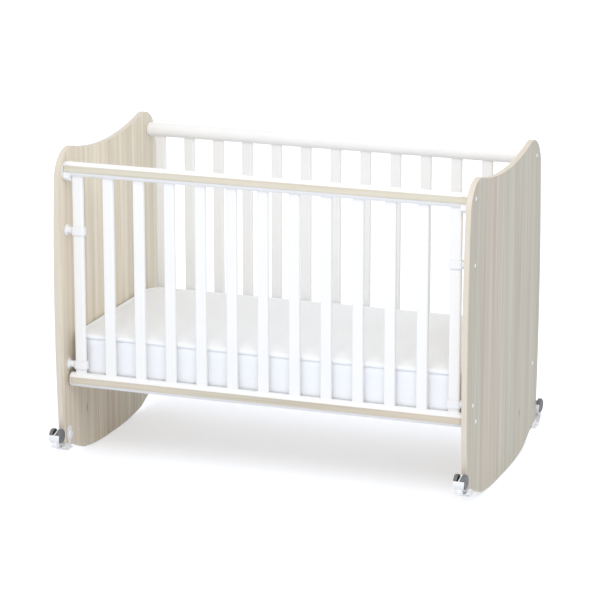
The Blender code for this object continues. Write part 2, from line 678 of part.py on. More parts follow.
def leaf_outline():
    """The leaf on -Y: a tongue to the pin, its full width, a taper and a round end."""
    half = HINGE_WIDTH / 2
    outer = HINGE_SPLIT - FIT_GAP / 2
    shoulder = Vector((half, -LEAF_SHOULDER))
    swivel = Vector((0, -SWIVEL_OFFSET))
    back = shoulder - swivel
    tangent_angle = math.atan2(back.y, back.x) - math.acos(LEAF_END_RADIUS / back.length)
    right = [(outer, 0), (outer, -PLATE_SETBACK), (half, -PLATE_SETBACK), (half, -LEAF_SHOULDER)]
    right += arc(swivel, LEAF_END_RADIUS, tangent_angle, -math.pi / 2, 4)
    return right + [(-x, y) for x, y in reversed(right[:-1])]


def make_bracket(name, tab_side, frame):
    """Web under the seat, tab up the panel's inner face, outer knuckles and pin."""
    web = bar_z(web_outline(), WEB_BOTTOM, WEB_TOP)
    tab_half = TAB_WIDTH / 2
    tab_foot = (WEB_BOTTOM + WEB_TOP) / 2
    tab_outline = [(TAB_OFFSET - tab_half, tab_foot), (TAB_OFFSET + tab_half, tab_foot)]
    tab_outline += arc((TAB_OFFSET, TAB_HEIGHT - tab_half), tab_half, 0, math.pi, 8)
    inner = tab_side * (PANEL_THICKNESS / 2 + FIT_GAP)
    tab = bar_x(tab_outline, inner, inner + tab_side * TAB_THICKNESS)
    boss_root = inner + tab_side * TAB_THICKNESS / 2
    boss_end = inner + tab_side * (TAB_THICKNESS + BOSS_HEIGHT)
    boss = turned_x([(boss_root, BOSS_RADIUS), (boss_end - tab_side * BOSS_EDGE, BOSS_RADIUS),
                     (boss_end, BOSS_RADIUS - BOSS_EDGE)], 16, (TAB_OFFSET, BOSS_LIFT))
    knuckle_start = HINGE_SPLIT + FIT_GAP / 2
    knuckles = [turned_x([(side * knuckle_start, KNUCKLE_RADIUS),
                          (side * HINGE_WIDTH / 2, KNUCKLE_RADIUS)], 12) for side in (-1, 1)]
    pin_half = knuckle_start + WELD
    pin = turned_x([(-pin_half, HINGE_PIN_RADIUS), (pin_half, HINGE_PIN_RADIUS)], 10)
    mesh = combined(web, ("UNION", tab), ("UNION", boss), ("UNION", gathered(knuckles)), ("UNION", pin))
    place(name, mesh, "white_plastic", (0, 0, 0), frame)


def make_leaf(name, frame):
    """Folding plate with the middle knuckle and the swivel's seat."""
    split = HINGE_SPLIT - FIT_GAP / 2
    swivel = (0, -SWIVEL_OFFSET)
    plate = bar_z(leaf_outline(), LEAF_NEAR, LEAF_FAR)
    knuckle = turned_x([(-split, KNUCKLE_RADIUS), (split, KNUCKLE_RADIUS)], 12)
    seat_top = LEAF_FAR + SWIVEL_SEAT_HEIGHT
    seat = turned_z([(LEAF_FAR - WELD, SWIVEL_SEAT_RADIUS), (seat_top, SWIVEL_SEAT_RADIUS)], 20, swivel)
    pin_bore_radius = HINGE_PIN_RADIUS + TURN_GAP
    pin_bore = turned_x([(-split - OVERRUN, pin_bore_radius), (split + OVERRUN, pin_bore_radius)], 10)
    head_bore = STEM_HEAD_RADIUS + TURN_GAP
    stem_bore = STEM_RADIUS + TURN_GAP
    sink = LEAF_NEAR + TURN_GAP
    countersink = turned_z([(LEAF_NEAR - OVERRUN, head_bore), (sink, head_bore),
                            (sink + head_bore - stem_bore, stem_bore),
                            (seat_top + OVERRUN, stem_bore)], 16, swivel)
    mesh = combined(plate, ("UNION", knuckle), ("UNION", seat),
                    ("DIFFERENCE", pin_bore), ("DIFFERENCE", countersink))
    return place(name, mesh, "white_plastic", (0, 0, 0), frame)


def make_hood(name, parent):
    """Stem, neck and half bowl round the wheels; origin on the swivel axis."""
    axle = (TRAIL, WHEEL_LIFT)
    shell_inner = WHEEL_RADIUS + HOOD_CLEARANCE
    shell_outer = shell_inner + HOOD_SHELL
    stem_end = LEAF_NEAR + TURN_GAP
    raceway_top = HOOD_BASE + RACEWAY_HEIGHT
    # The neck runs up to where its far side meets the bowl's inner face
    neck_top = WHEEL_LIFT - math.sqrt(shell_inner ** 2 - (TRAIL + NECK_RADIUS) ** 2)
    neck = turned_z([(stem_end, STEM_HEAD_RADIUS),
                     (stem_end + STEM_HEAD_RADIUS - STEM_RADIUS, STEM_RADIUS),
                     (HOOD_BASE, STEM_RADIUS), (HOOD_BASE, RACEWAY_RADIUS),
                     (raceway_top, RACEWAY_RADIUS),
                     (raceway_top + RACEWAY_RADIUS - NECK_RADIUS, NECK_RADIUS),
                     (neck_top, NECK_RADIUS)], 16)
    shell_outline = arc(axle, shell_outer, HOOD_START_ANGLE, HOOD_END_ANGLE, 10)
    shell_outline += arc(axle, shell_inner, HOOD_END_ANGLE, HOOD_START_ANGLE, 10)
    shell = bar_x(shell_outline, -HOOD_HALF, HOOD_HALF)
    rib_outline = [axle] + arc(axle, (shell_inner + shell_outer) / 2, HOOD_START_ANGLE, HOOD_END_ANGLE, 10)
    rib = bar_x(rib_outline, -HOOD_RIB_HALF, HOOD_RIB_HALF)
    room = WHEEL_INNER_HALF - TURN_GAP
    disc = turned_x([(-room, HOOD_DISC_RADIUS), (room, HOOD_DISC_RADIUS)], 20, axle)
    wells = []
    for side in (-1, 1):
        well_end = side * (WHEEL_OUTER_HALF + OVERRUN)
        wells.append(turned_x([(side * room, shell_inner), (well_end, shell_inner)], 24, axle))
    bore_radius = AXLE_RADIUS + TURN_GAP
    bore = turned_x([(-WHEEL_OUTER_HALF, bore_radius), (WHEEL_OUTER_HALF, bore_radius)], 12, axle)
    mesh = combined(shell, ("UNION", rib), ("UNION", neck), ("DIFFERENCE", gathered(wells)),
                    ("UNION", disc), ("DIFFERENCE", bore))
    return place(name, mesh, "white_plastic", (0, -SWIVEL_OFFSET, 0), parent)


def make_wheels(name, parent):
    """Two wheels on one axle; origin on the axle."""
    outer, inner = WHEEL_OUTER_HALF, WHEEL_INNER_HALF
    right = [(inner, AXLE_RADIUS), (inner, WHEEL_RADIUS - WHEEL_DISH),
             (inner + WHEEL_DISH, WHEEL_RADIUS), (outer - WHEEL_ROUND, WHEEL_RADIUS),
             (outer - WHEEL_ROUND / 3, WHEEL_RADIUS - WHEEL_ROUND / 3),
             (outer, WHEEL_RADIUS - WHEEL_ROUND), (outer - WHEEL_DISH, WHEEL_HUB_RADIUS)]
    left = [(-x, radius) for x, radius in reversed(right)]
    place(name, turned_x(left + right, 20), "grey_wheel", (0, TRAIL, WHEEL_LIFT), parent)


def make_casters():
    for depth_word, depth in (("front", -1), ("back", 1)):
        for length_word, side in (("left", -1), ("right", 1)):
            corner = f"{depth_word}_{length_word}"
            turn = 0 if depth < 0 else math.pi
            hinge = frame_at("caster_hinge_" + corner,
                             (side * PANEL_MIDDLE, depth * HINGE_Y, HINGE_HEIGHT), None, turn)
            # The tab faces the crib's middle, whichever way the corner is turned
            make_bracket("caster_bracket_" + corner, side * depth, hinge)
            fold = frame_at("caster_fold_" + corner, (0, 0, 0), hinge, 0, -STOWED_TILT)
            leaf = make_leaf("caster_leaf_" + corner, fold)
            hood = make_hood("caster_hood_" + corner, leaf)
            make_wheels("caster_wheels_" + corner, hood)


def main():
    clear_scene()
    make_materials()
    make_panels()
    make_back_side()
    make_drop_side()
    make_guides()
    make_bed_base()
    make_mattress()
    make_casters()


main()
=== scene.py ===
"""The finished look of a rocking crib.

White-washed oak-look end panels on rocker feet, white lacquered rails and slats, a drop
side with wood strips in its rails, ring guides, fold-away twin-wheel casters and a
mattress in a piped cover.  Metres, +Z up; the drop side faces -Y.
"""

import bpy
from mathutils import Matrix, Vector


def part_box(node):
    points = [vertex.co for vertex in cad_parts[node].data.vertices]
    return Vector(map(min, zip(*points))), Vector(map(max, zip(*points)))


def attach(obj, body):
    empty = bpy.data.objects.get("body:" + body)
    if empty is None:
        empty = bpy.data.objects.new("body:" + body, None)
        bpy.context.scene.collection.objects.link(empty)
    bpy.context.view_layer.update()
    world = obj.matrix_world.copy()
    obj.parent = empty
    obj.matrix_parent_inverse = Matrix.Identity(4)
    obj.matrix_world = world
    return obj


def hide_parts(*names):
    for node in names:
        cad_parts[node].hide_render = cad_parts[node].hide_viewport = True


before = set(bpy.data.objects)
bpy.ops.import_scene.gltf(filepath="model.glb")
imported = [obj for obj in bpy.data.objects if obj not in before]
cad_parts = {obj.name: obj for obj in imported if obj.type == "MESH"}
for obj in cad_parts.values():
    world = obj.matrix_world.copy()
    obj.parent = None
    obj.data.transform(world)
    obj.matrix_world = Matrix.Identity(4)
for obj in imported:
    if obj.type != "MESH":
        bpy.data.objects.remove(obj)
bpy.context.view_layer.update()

import math

import bmesh
import bpy
import numpy as np
from mathutils import Matrix

bl_info = {
    "name": "Rocking Crib",
    "version": (1, 0, 0),
    "blender": (4, 5, 0),
    "location": "3D View > Sidebar > Crib",
    "description": "Dresses the crib's frame with its boards, rails, guides, mattress and casters",
    "category": "Object",
}

# Sizes that the frame gives

def middle(node):
    """The centre of a CAD node's box."""
    low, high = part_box(node)
    return (np.array(low) + np.array(high)) / 2


def span(node):
    """The three sides of a CAD node's box."""
    low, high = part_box(node)
    return np.array(high) - np.array(low)


PANEL_LOW, PANEL_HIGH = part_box("end_panel_right")
FITTING_LOW, FITTING_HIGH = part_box("end_fitting_right")
MATTRESS_LOW, MATTRESS_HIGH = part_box("mattress")
BASE_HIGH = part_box("bed_base")[1]
INNER_X = PANEL_LOW.x
PANEL_DEPTH = 2 * PANEL_HIGH.y
RAIL_RADIUS = span("back_top_rail")[2] / 2
SIDE_Y, BACK_RAIL_Z = middle("back_top_rail")[1:]
FRONT_RAIL_Z = middle("front_top_rail")[2]
BOTTOM_RAIL_Z = middle("back_bottom_rail")[2]
SLAT_WIDTH, SLAT_DEPTH = span("back_slat_01")[:2]
UPPER_GUIDE_Z = middle("upper_guide_right")[2]
LOWER_GUIDE_Z = middle("lower_guide_right")[2]
SIDES = (("left", -1), ("right", 1))

# End panels
PANEL_THICKNESS = 0.016
WIDEST_HEIGHT = 0.467
SIDE_RADIUS = 4.8
DIP_HEIGHT = 0.9085
DIP_RADIUS = 1.05
TOP_CORNER_RADIUS = 0.088
LOW_CORNER_RADIUS = 0.015
ROCKER_FLAT = 0.060
ROCKER_END_ANGLE = math.radians(8.4)
FOOT_RADIUS = 0.100
RAMP_ANGLE = math.radians(23)
RAMP_HEAD_RADIUS = 0.080
SEAT_HEIGHT = 0.050
SEAT_LENGTH = 0.0555
KNOTS = {"left": ((-0.190, 0.131),), "right": ((0.174, 0.137),)}        # (y, z) in each board's print
KNOT_HEART = (0.0052, 0.021)        # half width and half length
KNOT_REACH = (0.030, 0.085)         # how far the grain bends round a knot
INNER_PAINTED_LIGHT = 1.36           # the inner faces' foil is painted lighter, as light falling on them, and takes less of the greenish bands
INNER_COOLEST = 0.7
# The outer faces' foil is painted a little darker, as shade
OUTER_PAINTED_SHADE = 0.97
CAP_HEIGHT = 0.0014
CAP_RADIUS = 0.006
SCREW_RISE = 0.007

# Rails, slats and strips
FLAT_DISTANCE = 0.0187      # flat that carries the wood strip, from the rail's axis
TOP_TILT = math.radians(10.5)       # the flats and their strips face a little upwards
BOTTOM_TILT = math.radians(3.5)
SLAT_EDGE_RADIUS = 0.005
STRIP_THICKNESS = 0.003
STRIP_HEIGHT = 0.018
STRIP_PROUD = 0.001
STRIP_EDGE = 0.0008
STRIP_TONE = 1.12

# Guides and catches
GUIDE_WALL = 0.004
GUIDE_GAP = 0.0006
GUIDE_LIP = 0.0015
ARM_RADIUS = 0.0098
ARM_FLARE = 0.0025
FLANGE_RADIUS = 0.017
FLANGE_THICKNESS = 0.0025
GUIDE_HEIGHT = 0.024
PLATE_RADIUS = 0.027
PLATE_RIM = 0.0006
DIMPLE_RADIUS = 0.004
DIMPLE_DEPTH = 0.0012
FITTING_DROP = 0.0065
FITTING_EDGE = 0.0028

# Bed base
BASE_RAIL_WIDTH = 0.016
BASE_RAIL_HEIGHT = 0.035
BASE_SLAT_COUNT = 11
BASE_SLAT_WIDTH = 0.060
BASE_SLAT_THICKNESS = 0.012
BASE_SLAT_DROP = 0.001
BASE_END_GAP = 0.012
BASE_RAIL_ROUND = 0.002
BASE_RAIL_END_ROUND = 0.0006
BASE_SLAT_ROUND = 0.003
BASE_RAIL_Y = BASE_HIGH.y - BASE_RAIL_WIDTH / 2
BASE_RAIL_Z = BASE_HIGH.z - BASE_RAIL_HEIGHT / 2

# Mattress: its soft cover stands a little proud of the foam that the frame gives
COVER_PROUD = 0.0075
COVER_RISE = 0.0012
COVER_X = MATTRESS_HIGH.x + COVER_PROUD
COVER_Y = MATTRESS_HIGH.y
COVER_TOP = MATTRESS_HIGH.z + COVER_RISE
COVER_BOTTOM = MATTRESS_LOW.z
MATTRESS_CORNER = 0.055
SMALLEST_CORNER = 0.006
MATTRESS_FOOT = 0.008
MATTRESS_CROWN = 0.0035
MATTRESS_DRAWN_IN = 0.005
ROLL_RADIUS = 0.0068        # soft roll sewn round the top edge
BORDER_INSET = 0.003
SEAM_Z = COVER_TOP - ROLL_RADIUS
VOXEL = 0.009
SEAM_REACH = 2.5 * VOXEL    # the cover is held this far in from its top edge
CLOTH_STEPS = 20
BORDER_SWELL = 0.003        # how far the border may swell in the simulation
TOP_SWELL = 0.003
GATHER_DEPTH = 0.0016
GATHER_SPACING = 0.034
GATHER_SHIFT = 0.37         # the ends' folds start elsewhere than the long sides'
PUCKER_DEPTH = 0.0004
PUCKER_REACH = 0.03

# Casters, about the hinge pin
HINGE_Y = 0.355
HINGE_Z = 0.049
STOWED_TILT = math.radians(17)
HINGE_HALF = 0.019
HINGE_SPLIT = 0.0095
KNUCKLE_RADIUS = 0.003
KNUCKLE_EDGE = 0.0004
PIN_RADIUS = 0.0015
PIN_EDGE = 0.0003
SETBACK = 0.0034
WEB_BOTTOM = -0.0018
WEB_TOP = 0.0007
WEB_LENGTH = 0.037
WEB_CORNER = 0.003
SHOE_WALL = 0.0022
SHOE_LENGTH = 0.038
SHOE_FRONT_HEIGHT = 0.0165
SHOE_BACK_HEIGHT = 0.0095
SHOE_CHAMFER = 0.002
TAB_HALF = 0.0135
TAB_STEM_HALF = 0.006
TAB_STEM_HEIGHT = 0.017
TAB_HEIGHT = 0.064
TAB_THICKNESS = 0.0025
TAB_OFFSET = 0.0335
BOSS_RADIUS = 0.012
BOSS_HEIGHT = 0.0045
BOSS_LIFT = 0.036
BOSS_EDGE = 0.0018
LEAF_NEAR = 0.0021
LEAF_FAR = 0.0046
LEAF_SHOULDER = 0.021
LEAF_END_RADIUS = 0.0115
FLANGE_TOP = 0.0096
FLANGE_WALL = 0.0018
FLANGE_START = 0.0050
FLANGE_END = 0.0380
FLANGE_TIP = 0.35           # share of its height at which the flange ends
SWIVEL_OFFSET = 0.0534
SWIVEL_SEAT_RADIUS = 0.0105
HOOD_BASE = 0.0064
STEM_RADIUS = 0.0035
RACEWAY_RADIUS = 0.0112
RACEWAY_HEIGHT = 0.0026
NECK_RADIUS = 0.0085
TRAIL = 0.006
WHEEL_LIFT = 0.0388
WHEEL_RADIUS = 0.0210
WHEEL_OUTER = 0.0175
WHEEL_INNER = 0.0064
WHEEL_SHOULDER = 0.0032
WHEEL_RECESS = 0.0018       # depth of the inner side's hollow, inside a wall
WHEEL_WALL = 0.0016
WHEEL_LIP = 0.0009
WHEEL_LIP_WIDTH = 0.0010
# Depth below the outer face and radius: a raised ring, the dish, and a raised hub
WHEEL_FACE = ((0, 0.0162), (0.0010, 0.0155), (0.0012, 0.0085), (0.0004, 0.0077), (0.0002, 0.0040),
              (0.0008, 0.0030), (0.0008, 0.0006))
# Dark disc in each wheel's hollow inner side, painted shade: its front and back depth and its edge round
SHADE_DISC_FRONT = 0.0008
SHADE_DISC_BACK = 0.003
SHADE_DISC_EDGE = 0.0005
AXLE_GRIP = 0.001
AXLE_RADIUS = 0.003
HOOD_INNER = 0.0225
HOOD_OUTER = 0.0246
HOOD_HALF = 0.0168
HOOD_WAIST = 0.0050
HUB_RADIUS = 0.006
HUB_ROOM = 0.0004
HUB_EDGE = 0.0008
RIB_HALF = 0.0018
RIB_INSIDE = 0.001
HOOD_START = math.radians(180)
HOOD_END = math.radians(396)
RIB_TOP = math.radians(432)         # where the rib's straight free edge meets its rim

SHARP_ANGLE = math.radians(40)
FIT = 0.0003


def hex_colour(code):
    """An sRGB hex value as linear red, green, blue and alpha."""
    channels = [int(code[i:i + 2], 16) / 255 for i in (0, 2, 4)]
    linear = [c / 12.92 if c <= 0.04045 else ((c + 0.055) / 1.055) ** 2.4 for c in channels]
    return (*linear, 1.0)


class CribSizes(bpy.types.PropertyGroup):
    """Small sizes of the finish that can be changed freely."""
    board_round: bpy.props.FloatProperty(
        name="Board edge", description="Round along the edge banding",
        default=0.0012, min=0.0002, max=0.003, unit="LENGTH")
    moulding_round: bpy.props.FloatProperty(
        name="Moulding edge", description="Round on the edges of plastic and metal pieces",
        default=0.0006, min=0.0001, max=0.002, unit="LENGTH")
    rail_round: bpy.props.FloatProperty(
        name="Rail end", description="Round on the ends of the round rails",
        default=0.0015, min=0.0002, max=0.004, unit="LENGTH")


def colour_setting(name, description, code):
    """A colour that can be changed, with its sRGB default."""
    return bpy.props.FloatVectorProperty(name=name, description=description, default=hex_colour(code),
                                         size=4, subtype="COLOR", min=0, max=1)


class CribColours(bpy.types.PropertyGroup):
    """Colours of the crib's finishes."""
    wood_warm: colour_setting("Oak, warm", "Pinkish beige bands of the oak-look foil", "D1C6B5")
    wood_cool: colour_setting("Oak, cool", "Greenish grey bands of the oak-look foil", "CAC5B5")
    wood_grain: colour_setting("Grain lines", "Darker grain of the oak-look foil", "AAA08E")
    knot: colour_setting("Knots", "Dark hearts of the knots in the foil", "8C8674")
    edging: colour_setting("Edge banding", "Pale banding round the boards", "DAD1C2")
    lacquer: colour_setting("Lacquer", "White lacquer of the rails and slats", "F3F3F3")
    plastic: colour_setting("Plastic", "White moulded guides and casters", "F0F1F3")
    cloth: colour_setting("Mattress cover", "White woven cover", "F5F7FA")
    wheel: colour_setting("Wheels", "Grey wheels of the casters", "6D6D6F")
    # Painted shade: the dark disc in each wheel's hollow inner side
    core: colour_setting("Wheel hollow shade", "Dark cores on the wheels' inner sides", "38383A")
    birch: colour_setting("Bed slats", "Bare birch of the bed base", "DCC49C")


# Surfaces

def arc(centre, radius, start, end, steps):
    """Points at equal angles along an arc, both ends included."""
    angles = np.linspace(start, end, steps + 1)
    return np.stack([centre[0] + radius * np.cos(angles), centre[1] + radius * np.sin(angles)], axis=1)


def circle(radius, sides, centre=(0, 0)):
    """Points at equal angles round a circle, from its right-hand side."""
    return arc(centre, radius, 0, 2 * math.pi, sides)[:-1]


def rounded_rectangle(half_u, half_v, radius, steps):
    """Four quarter arcs, anticlockwise from the right-hand side."""
    corners = []
    for quarter, (sign_u, sign_v) in enumerate(((1, 1), (-1, 1), (-1, -1), (1, -1))):
        centre = (sign_u * (half_u - radius), sign_v * (half_v - radius))
        start = quarter * math.pi / 2
        corners.append(arc(centre, radius, start, start + math.pi / 2, steps))
    return np.concatenate(corners)


def mirrored(half, shared):
    """The right half of an outline and its mirror image; the last points may be shared."""
    return np.concatenate([half, half[::-1][shared:] * (-1, 1)])


def inset_outline(outline, distance):
    """The outline moved inwards: each point goes along the mean of its two edges'
    normals, by the distance over the cosine of half the turn, so edges stay parallel."""
    edge = np.roll(outline, -1, axis=0) - outline
    normal = np.stack([edge[:, 1], -edge[:, 0]], axis=1)
    normal /= np.linalg.norm(normal, axis=1, keepdims=True)
    mean = normal + np.roll(normal, 1, axis=0)
    mean /= np.linalg.norm(mean, axis=1, keepdims=True)
    cosine = np.clip(np.sum(mean * normal, axis=1, keepdims=True), 0.5, 1)
    return outline - mean * distance / cosine


def lifted(outline, along, axis):
    """A flat outline as points in space, at a place along the x, y or z axis."""
    height = np.full(len(outline), along)
    u, v = outline[:, 0], outline[:, 1]
    columns = {"x": (height, u, v), "y": (u, height, v), "z": (u, v, height)}[axis]
    return np.stack(columns, axis=1)


def skin(rings, closed=False):
    """Quads between rings of equally many points; flat caps end it, or the last ring
    joins the first."""
    rings = np.asarray(rings, float)
    count, around = rings.shape[:2]
    index = np.arange(count * around).reshape(count, around)
    far = np.roll(index, -1, axis=0) if closed else index[1:]
    near = index if closed else index[:-1]
    quads = np.stack([near, np.roll(near, -1, axis=1), np.roll(far, -1, axis=1), far], axis=-1)
    caps = [] if closed else [index[0, ::-1], index[-1]]
    return rings.reshape(-1, 3), quads.reshape(-1, 4), caps


def quarter_round(radius, steps):
    """(inset, depth) pairs round an edge: at the angle a, r (1 - sin a) and r (1 - cos a)."""
    angles = np.linspace(0, math.pi / 2, steps + 1)
    return [(radius * (1 - math.sin(a)), radius * (1 - math.cos(a))) for a in angles]


def prism(outline, axis, start, end, edge=0.0, steps=3):
    """An outline drawn out along an axis, with a quarter round on each end's edge."""
    if edge == 0.0:
        return skin([lifted(outline, start, axis), lifted(outline, end, axis)])
    way = math.copysign(1, end - start)
    rings = [(inset_outline(outline, inset), depth) for inset, depth in quarter_round(edge, steps)]
    first = [lifted(ring, start + way * depth, axis) for ring, depth in rings]
    last = [lifted(ring, end - way * depth, axis) for ring, depth in reversed(rings)]
    return skin(first + last)


def turned(profile, axis, centre=(0, 0), sides=48):
    """(place, radius) pairs turned about an axis through the centre."""
    return skin([lifted(circle(radius, sides, centre), along, axis) for along, radius in profile])


def rounded_profile(start, end, radius, edge, steps=3):
    """Profile of a turned disc or bar whose two rims are quarter rounds."""
    way = math.copysign(1, end - start)
    rim = [(depth, radius - inset) for inset, depth in quarter_round(edge, steps)]
    return ([(start + way * depth, size) for depth, size in rim]
            + [(end - way * depth, size) for depth, size in reversed(rim)])


def moved(body, matrix):
    """A body carried by a 4 by 4 matrix."""
    points, quads, caps = body
    matrix = np.array(matrix)
    return points @ matrix[:3, :3].T + matrix[:3, 3], quads, caps


def add_object(name, data):
    """A new object in the scene."""
    made = bpy.data.objects.new(name, data)
    bpy.context.scene.collection.objects.link(made)
    return made


def make_piece(name, bodies, finishes, rim_finish=0, second=(), far_finish=0):
    """One mesh object from closed bodies.  The near cap takes the first finish, sides take
    rim_finish and the far cap far_finish; the bodies at the places in second take the
    second finish all over."""
    points, faces, indices = [], [], []
    start = 0
    for place, (body_points, quads, caps) in enumerate(bodies):
        points.append(body_points)
        faces += (quads + start).tolist() + [(cap + start).tolist() for cap in caps]
        whole = int(place in second)
        indices += [whole or rim_finish] * len(quads) + [whole, whole or far_finish][:len(caps)]
        start += len(body_points)
    mesh = bpy.data.meshes.new(name)
    mesh.from_pydata(np.concatenate(points).tolist(), [], faces)
    mesh.polygons.foreach_set("material_index", indices)
    for finish in finishes:
        mesh.materials.append(finish)
    shell = bmesh.new()
    shell.from_mesh(mesh)
    bmesh.ops.recalc_face_normals(shell, faces=shell.faces)
    shell.to_mesh(mesh)
    shell.free()
    mesh.shade_smooth()
    mesh.set_sharp_from_angle(angle=SHARP_ANGLE)
    piece = add_object(name, mesh)
    flats = piece.modifiers.new("flats stay flat", "WEIGHTED_NORMAL")
    flats.keep_sharp = True
    return piece


def dress(piece, body, slot, *nodes):
    """The piece moves with a body and stands for CAD nodes, which it hides; the finish slot is not used."""
    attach(piece, body)
    if nodes:
        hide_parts(*nodes)


# Materials

def feed(tree, value, socket):
    """Gives a socket its value, or the socket or node (its first output in use) that feeds it."""
    if isinstance(value, bpy.types.Node):
        value = next(output for output in value.outputs if output.enabled)
    if isinstance(value, bpy.types.NodeSocket):
        tree.links.new(value, socket)
    else:
        socket.default_value = value


def add_node(tree, kind, inputs=None, **settings):
    """Adds a shader node with its settings and what its inputs are fed."""
    made = tree.nodes.new("ShaderNode" + kind)
    for name, value in settings.items():
        setattr(made, name, value)
    for key, value in (inputs or {}).items():
        feed(tree, value, made.inputs[key])
    return made


def set_shader(material, **values):
    """Feeds the Principled shader's sockets, each named with _ for a space."""
    tree = material.node_tree
    for name, value in values.items():
        feed(tree, value, tree.nodes["Principled BSDF"].inputs[name.replace("_", " ")])


def new_material(name, **values):
    """A material with a Principled shader that has these values, and its node tree."""
    if name in bpy.data.materials:
        bpy.data.materials.remove(bpy.data.materials[name])
    material = bpy.data.materials.new(name)
    material.use_nodes = True
    set_shader(material, **values)
    return material, material.node_tree


def colour(name):
    """The present value of a colour setting."""
    return tuple(getattr(bpy.context.scene.crib_colours, name))


def cells(tree, size, detail):
    """Noise whose cells have one size, or one along each of x, y and z, in metres."""
    place = add_node(tree, "TexCoord").outputs["Object"]
    spread = add_node(tree, "Mapping", {"Vector": place, "Scale": (1 / np.broadcast_to(size, 3)).tolist()})
    return add_node(tree, "TexNoise", {"Vector": spread, "Scale": 1, "Detail": detail})


def toned(tree, name, pattern, first, last, low=0, high=1):
    """A colour setting, scaled from first to last as the pattern goes from low to high."""
    tone = add_node(tree, "MapRange", {"Value": pattern, "From Min": low, "From Max": high,
                                       "To Min": first, "To Max": last})
    return add_node(tree, "VectorMath", {0: colour(name)[:3], "Scale": tone}, operation="SCALE")


def coat(material, base, relief, strength, depth, invert=False, **more):
    """Feeds the shader its base colour and a relief that stands up, or is sunk, by the depth."""
    bump = add_node(material.node_tree, "Bump", {"Height": relief, "Strength": strength, "Distance": depth},
                    invert=invert)
    set_shader(material, Base_Color=base, Normal=bump, **more)
    return material


def oak_foil(name, grain_axis, seed, knots=(), tone=1.0, coolest=1.0):
    """Oak-look decor foil on board: printed paper under a satin resin.

    Soft streaks 28 mm across, greenish bands 110 mm across on the pinkish ground, grain
    lines 8.5 mm across that run on for 0.8 m, and pores 1.1 mm across and 22 mm long,
    coarser than real ones, so that they show.  Round each knot the lines are spread
    apart.  The tone scales the printed colour; the end panels' inner and outer faces get
    unlike tones, which paint light on the inner faces and shade on the outer ones.  Coolest
    is the most that the greenish bands take.
    """
    material, tree = new_material(name, Roughness=0.5, IOR=1.5)
    place = ground = add_node(tree, "TexCoord").outputs["Object"]

    def near_knot(point, knot, half, low, high, most):
        """The way from a knot, and a share that falls from most to 0 between low and high
        times the half width and half length."""
        away = add_node(tree, "VectorMath", {0: point, 1: (0, *knot)}, operation="SUBTRACT")
        flat = add_node(tree, "VectorMath", {0: away, 1: (0, 1 / half[0], 1 / half[1])},
                        operation="MULTIPLY")
        reach = add_node(tree, "VectorMath", {0: flat}, operation="LENGTH")
        share = add_node(tree, "MapRange", {"Value": reach, "From Min": low, "From Max": high,
                                            "To Min": most, "To Max": 0}, interpolation_type="SMOOTHSTEP")
        return away, share

    for knot in knots:
        away, pull = near_knot(place, knot, KNOT_REACH, 0, 1, 0.72)
        back = add_node(tree, "VectorMath", {0: away, "Scale": pull}, operation="SCALE")
        sideways = add_node(tree, "VectorMath", {0: back, 1: (0, 1, 0)}, operation="MULTIPLY")
        place = add_node(tree, "VectorMath", {0: place, 1: sideways}, operation="SUBTRACT")

    # Each layer of print: its colour, its cells' width and length, the noise's detail and
    # shift, and the share of the colour, from 0 at low to most at high
    layers = []
    for ink, across, along, detail, shift, low, high, most in (
            ("wood_grain", 0.028, 1.3, 2, 0, 0.38, 0.62, 0.42),
            ("wood_cool", 0.11, 2.2, 3, 11, 0.44, 0.58, coolest),
            ("wood_grain", 0.0085, 0.8, 3, 23, 0.5, 0.7, 0.72),
            ("wood_grain", 0.0011, 0.022, 1, 37, 0.62, 0.74, 0.25)):
        scale = [1 / across] * 3
        scale["xyz".index(grain_axis)] = 1 / along
        spread = add_node(tree, "Mapping", {"Vector": place, "Scale": scale,
                                            "Location": (seed + shift, seed * 2 + shift, shift)})
        noise = add_node(tree, "TexNoise", {"Vector": spread, "Scale": 1, "Detail": detail,
                                            "Roughness": 0.55})
        share = add_node(tree, "MapRange", {"Value": noise, "From Min": low, "From Max": high,
                                            "To Max": most})
        layers.append((ink, share))
    bands, cool, lines, pores = layers
    hearts = [("knot", near_knot(ground, knot, KNOT_HEART, 0.25, 1.05, 0.9)[1]) for knot in knots]
    base = colour("wood_warm")
    for ink, share in (cool, bands, lines, pores, *hearts):
        base = add_node(tree, "Mix", {"Factor": share, 6: base, 7: colour(ink)}, data_type="RGBA")
    base = add_node(tree, "VectorMath", {0: base, "Scale": tone}, operation="SCALE")
    sunk = add_node(tree, "Math", {0: lines[1], 1: pores[1]}, operation="ADD")
    return coat(material, base, sunk, 0.35, 0.0001, invert=True)


def edge_banding():
    """ABS edge banding, 1 mm, printed to match the oak foil: paler, with streaks 3 mm
    across and 50 mm long that run along the board's edge."""
    material, tree = new_material("abs_edge_banding", Roughness=0.42, IOR=1.53)
    streak = cells(tree, (0.003, 0.05, 0.05), 3)
    share = add_node(tree, "MapRange", {"Value": streak, "From Min": 0.42, "From Max": 0.7, "To Max": 0.5})
    base = add_node(tree, "Mix", {"Factor": share, 6: colour("edging"), 7: colour("wood_warm")},
                    data_type="RGBA")
    return coat(material, base, streak, 0.2, 0.0001)


def white_lacquer():
    """Sprayed acrylic lacquer on beech: satin, with a faint orange peel 2 mm across and
    the wood's slow unevenness, 90 mm across, under it."""
    material, tree = new_material("white_lacquered_beech", IOR=1.49)
    slow = cells(tree, 0.09, 2)
    gloss = add_node(tree, "MapRange", {"Value": slow, "To Min": 0.30, "To Max": 0.40})
    return coat(material, toned(tree, "lacquer", slow, 0.985, 1.0, 0.35, 0.65), cells(tree, 0.002, 2),
                0.12, 0.0002, Roughness=gloss)


def speckled(name, ink, size, detail, tones, strength, depth, **values):
    """A material whose tone and relief both follow one fine noise."""
    material, tree = new_material(name, **values)
    speck = cells(tree, size, detail)
    return coat(material, toned(tree, ink, speck, *tones), speck, strength, depth)


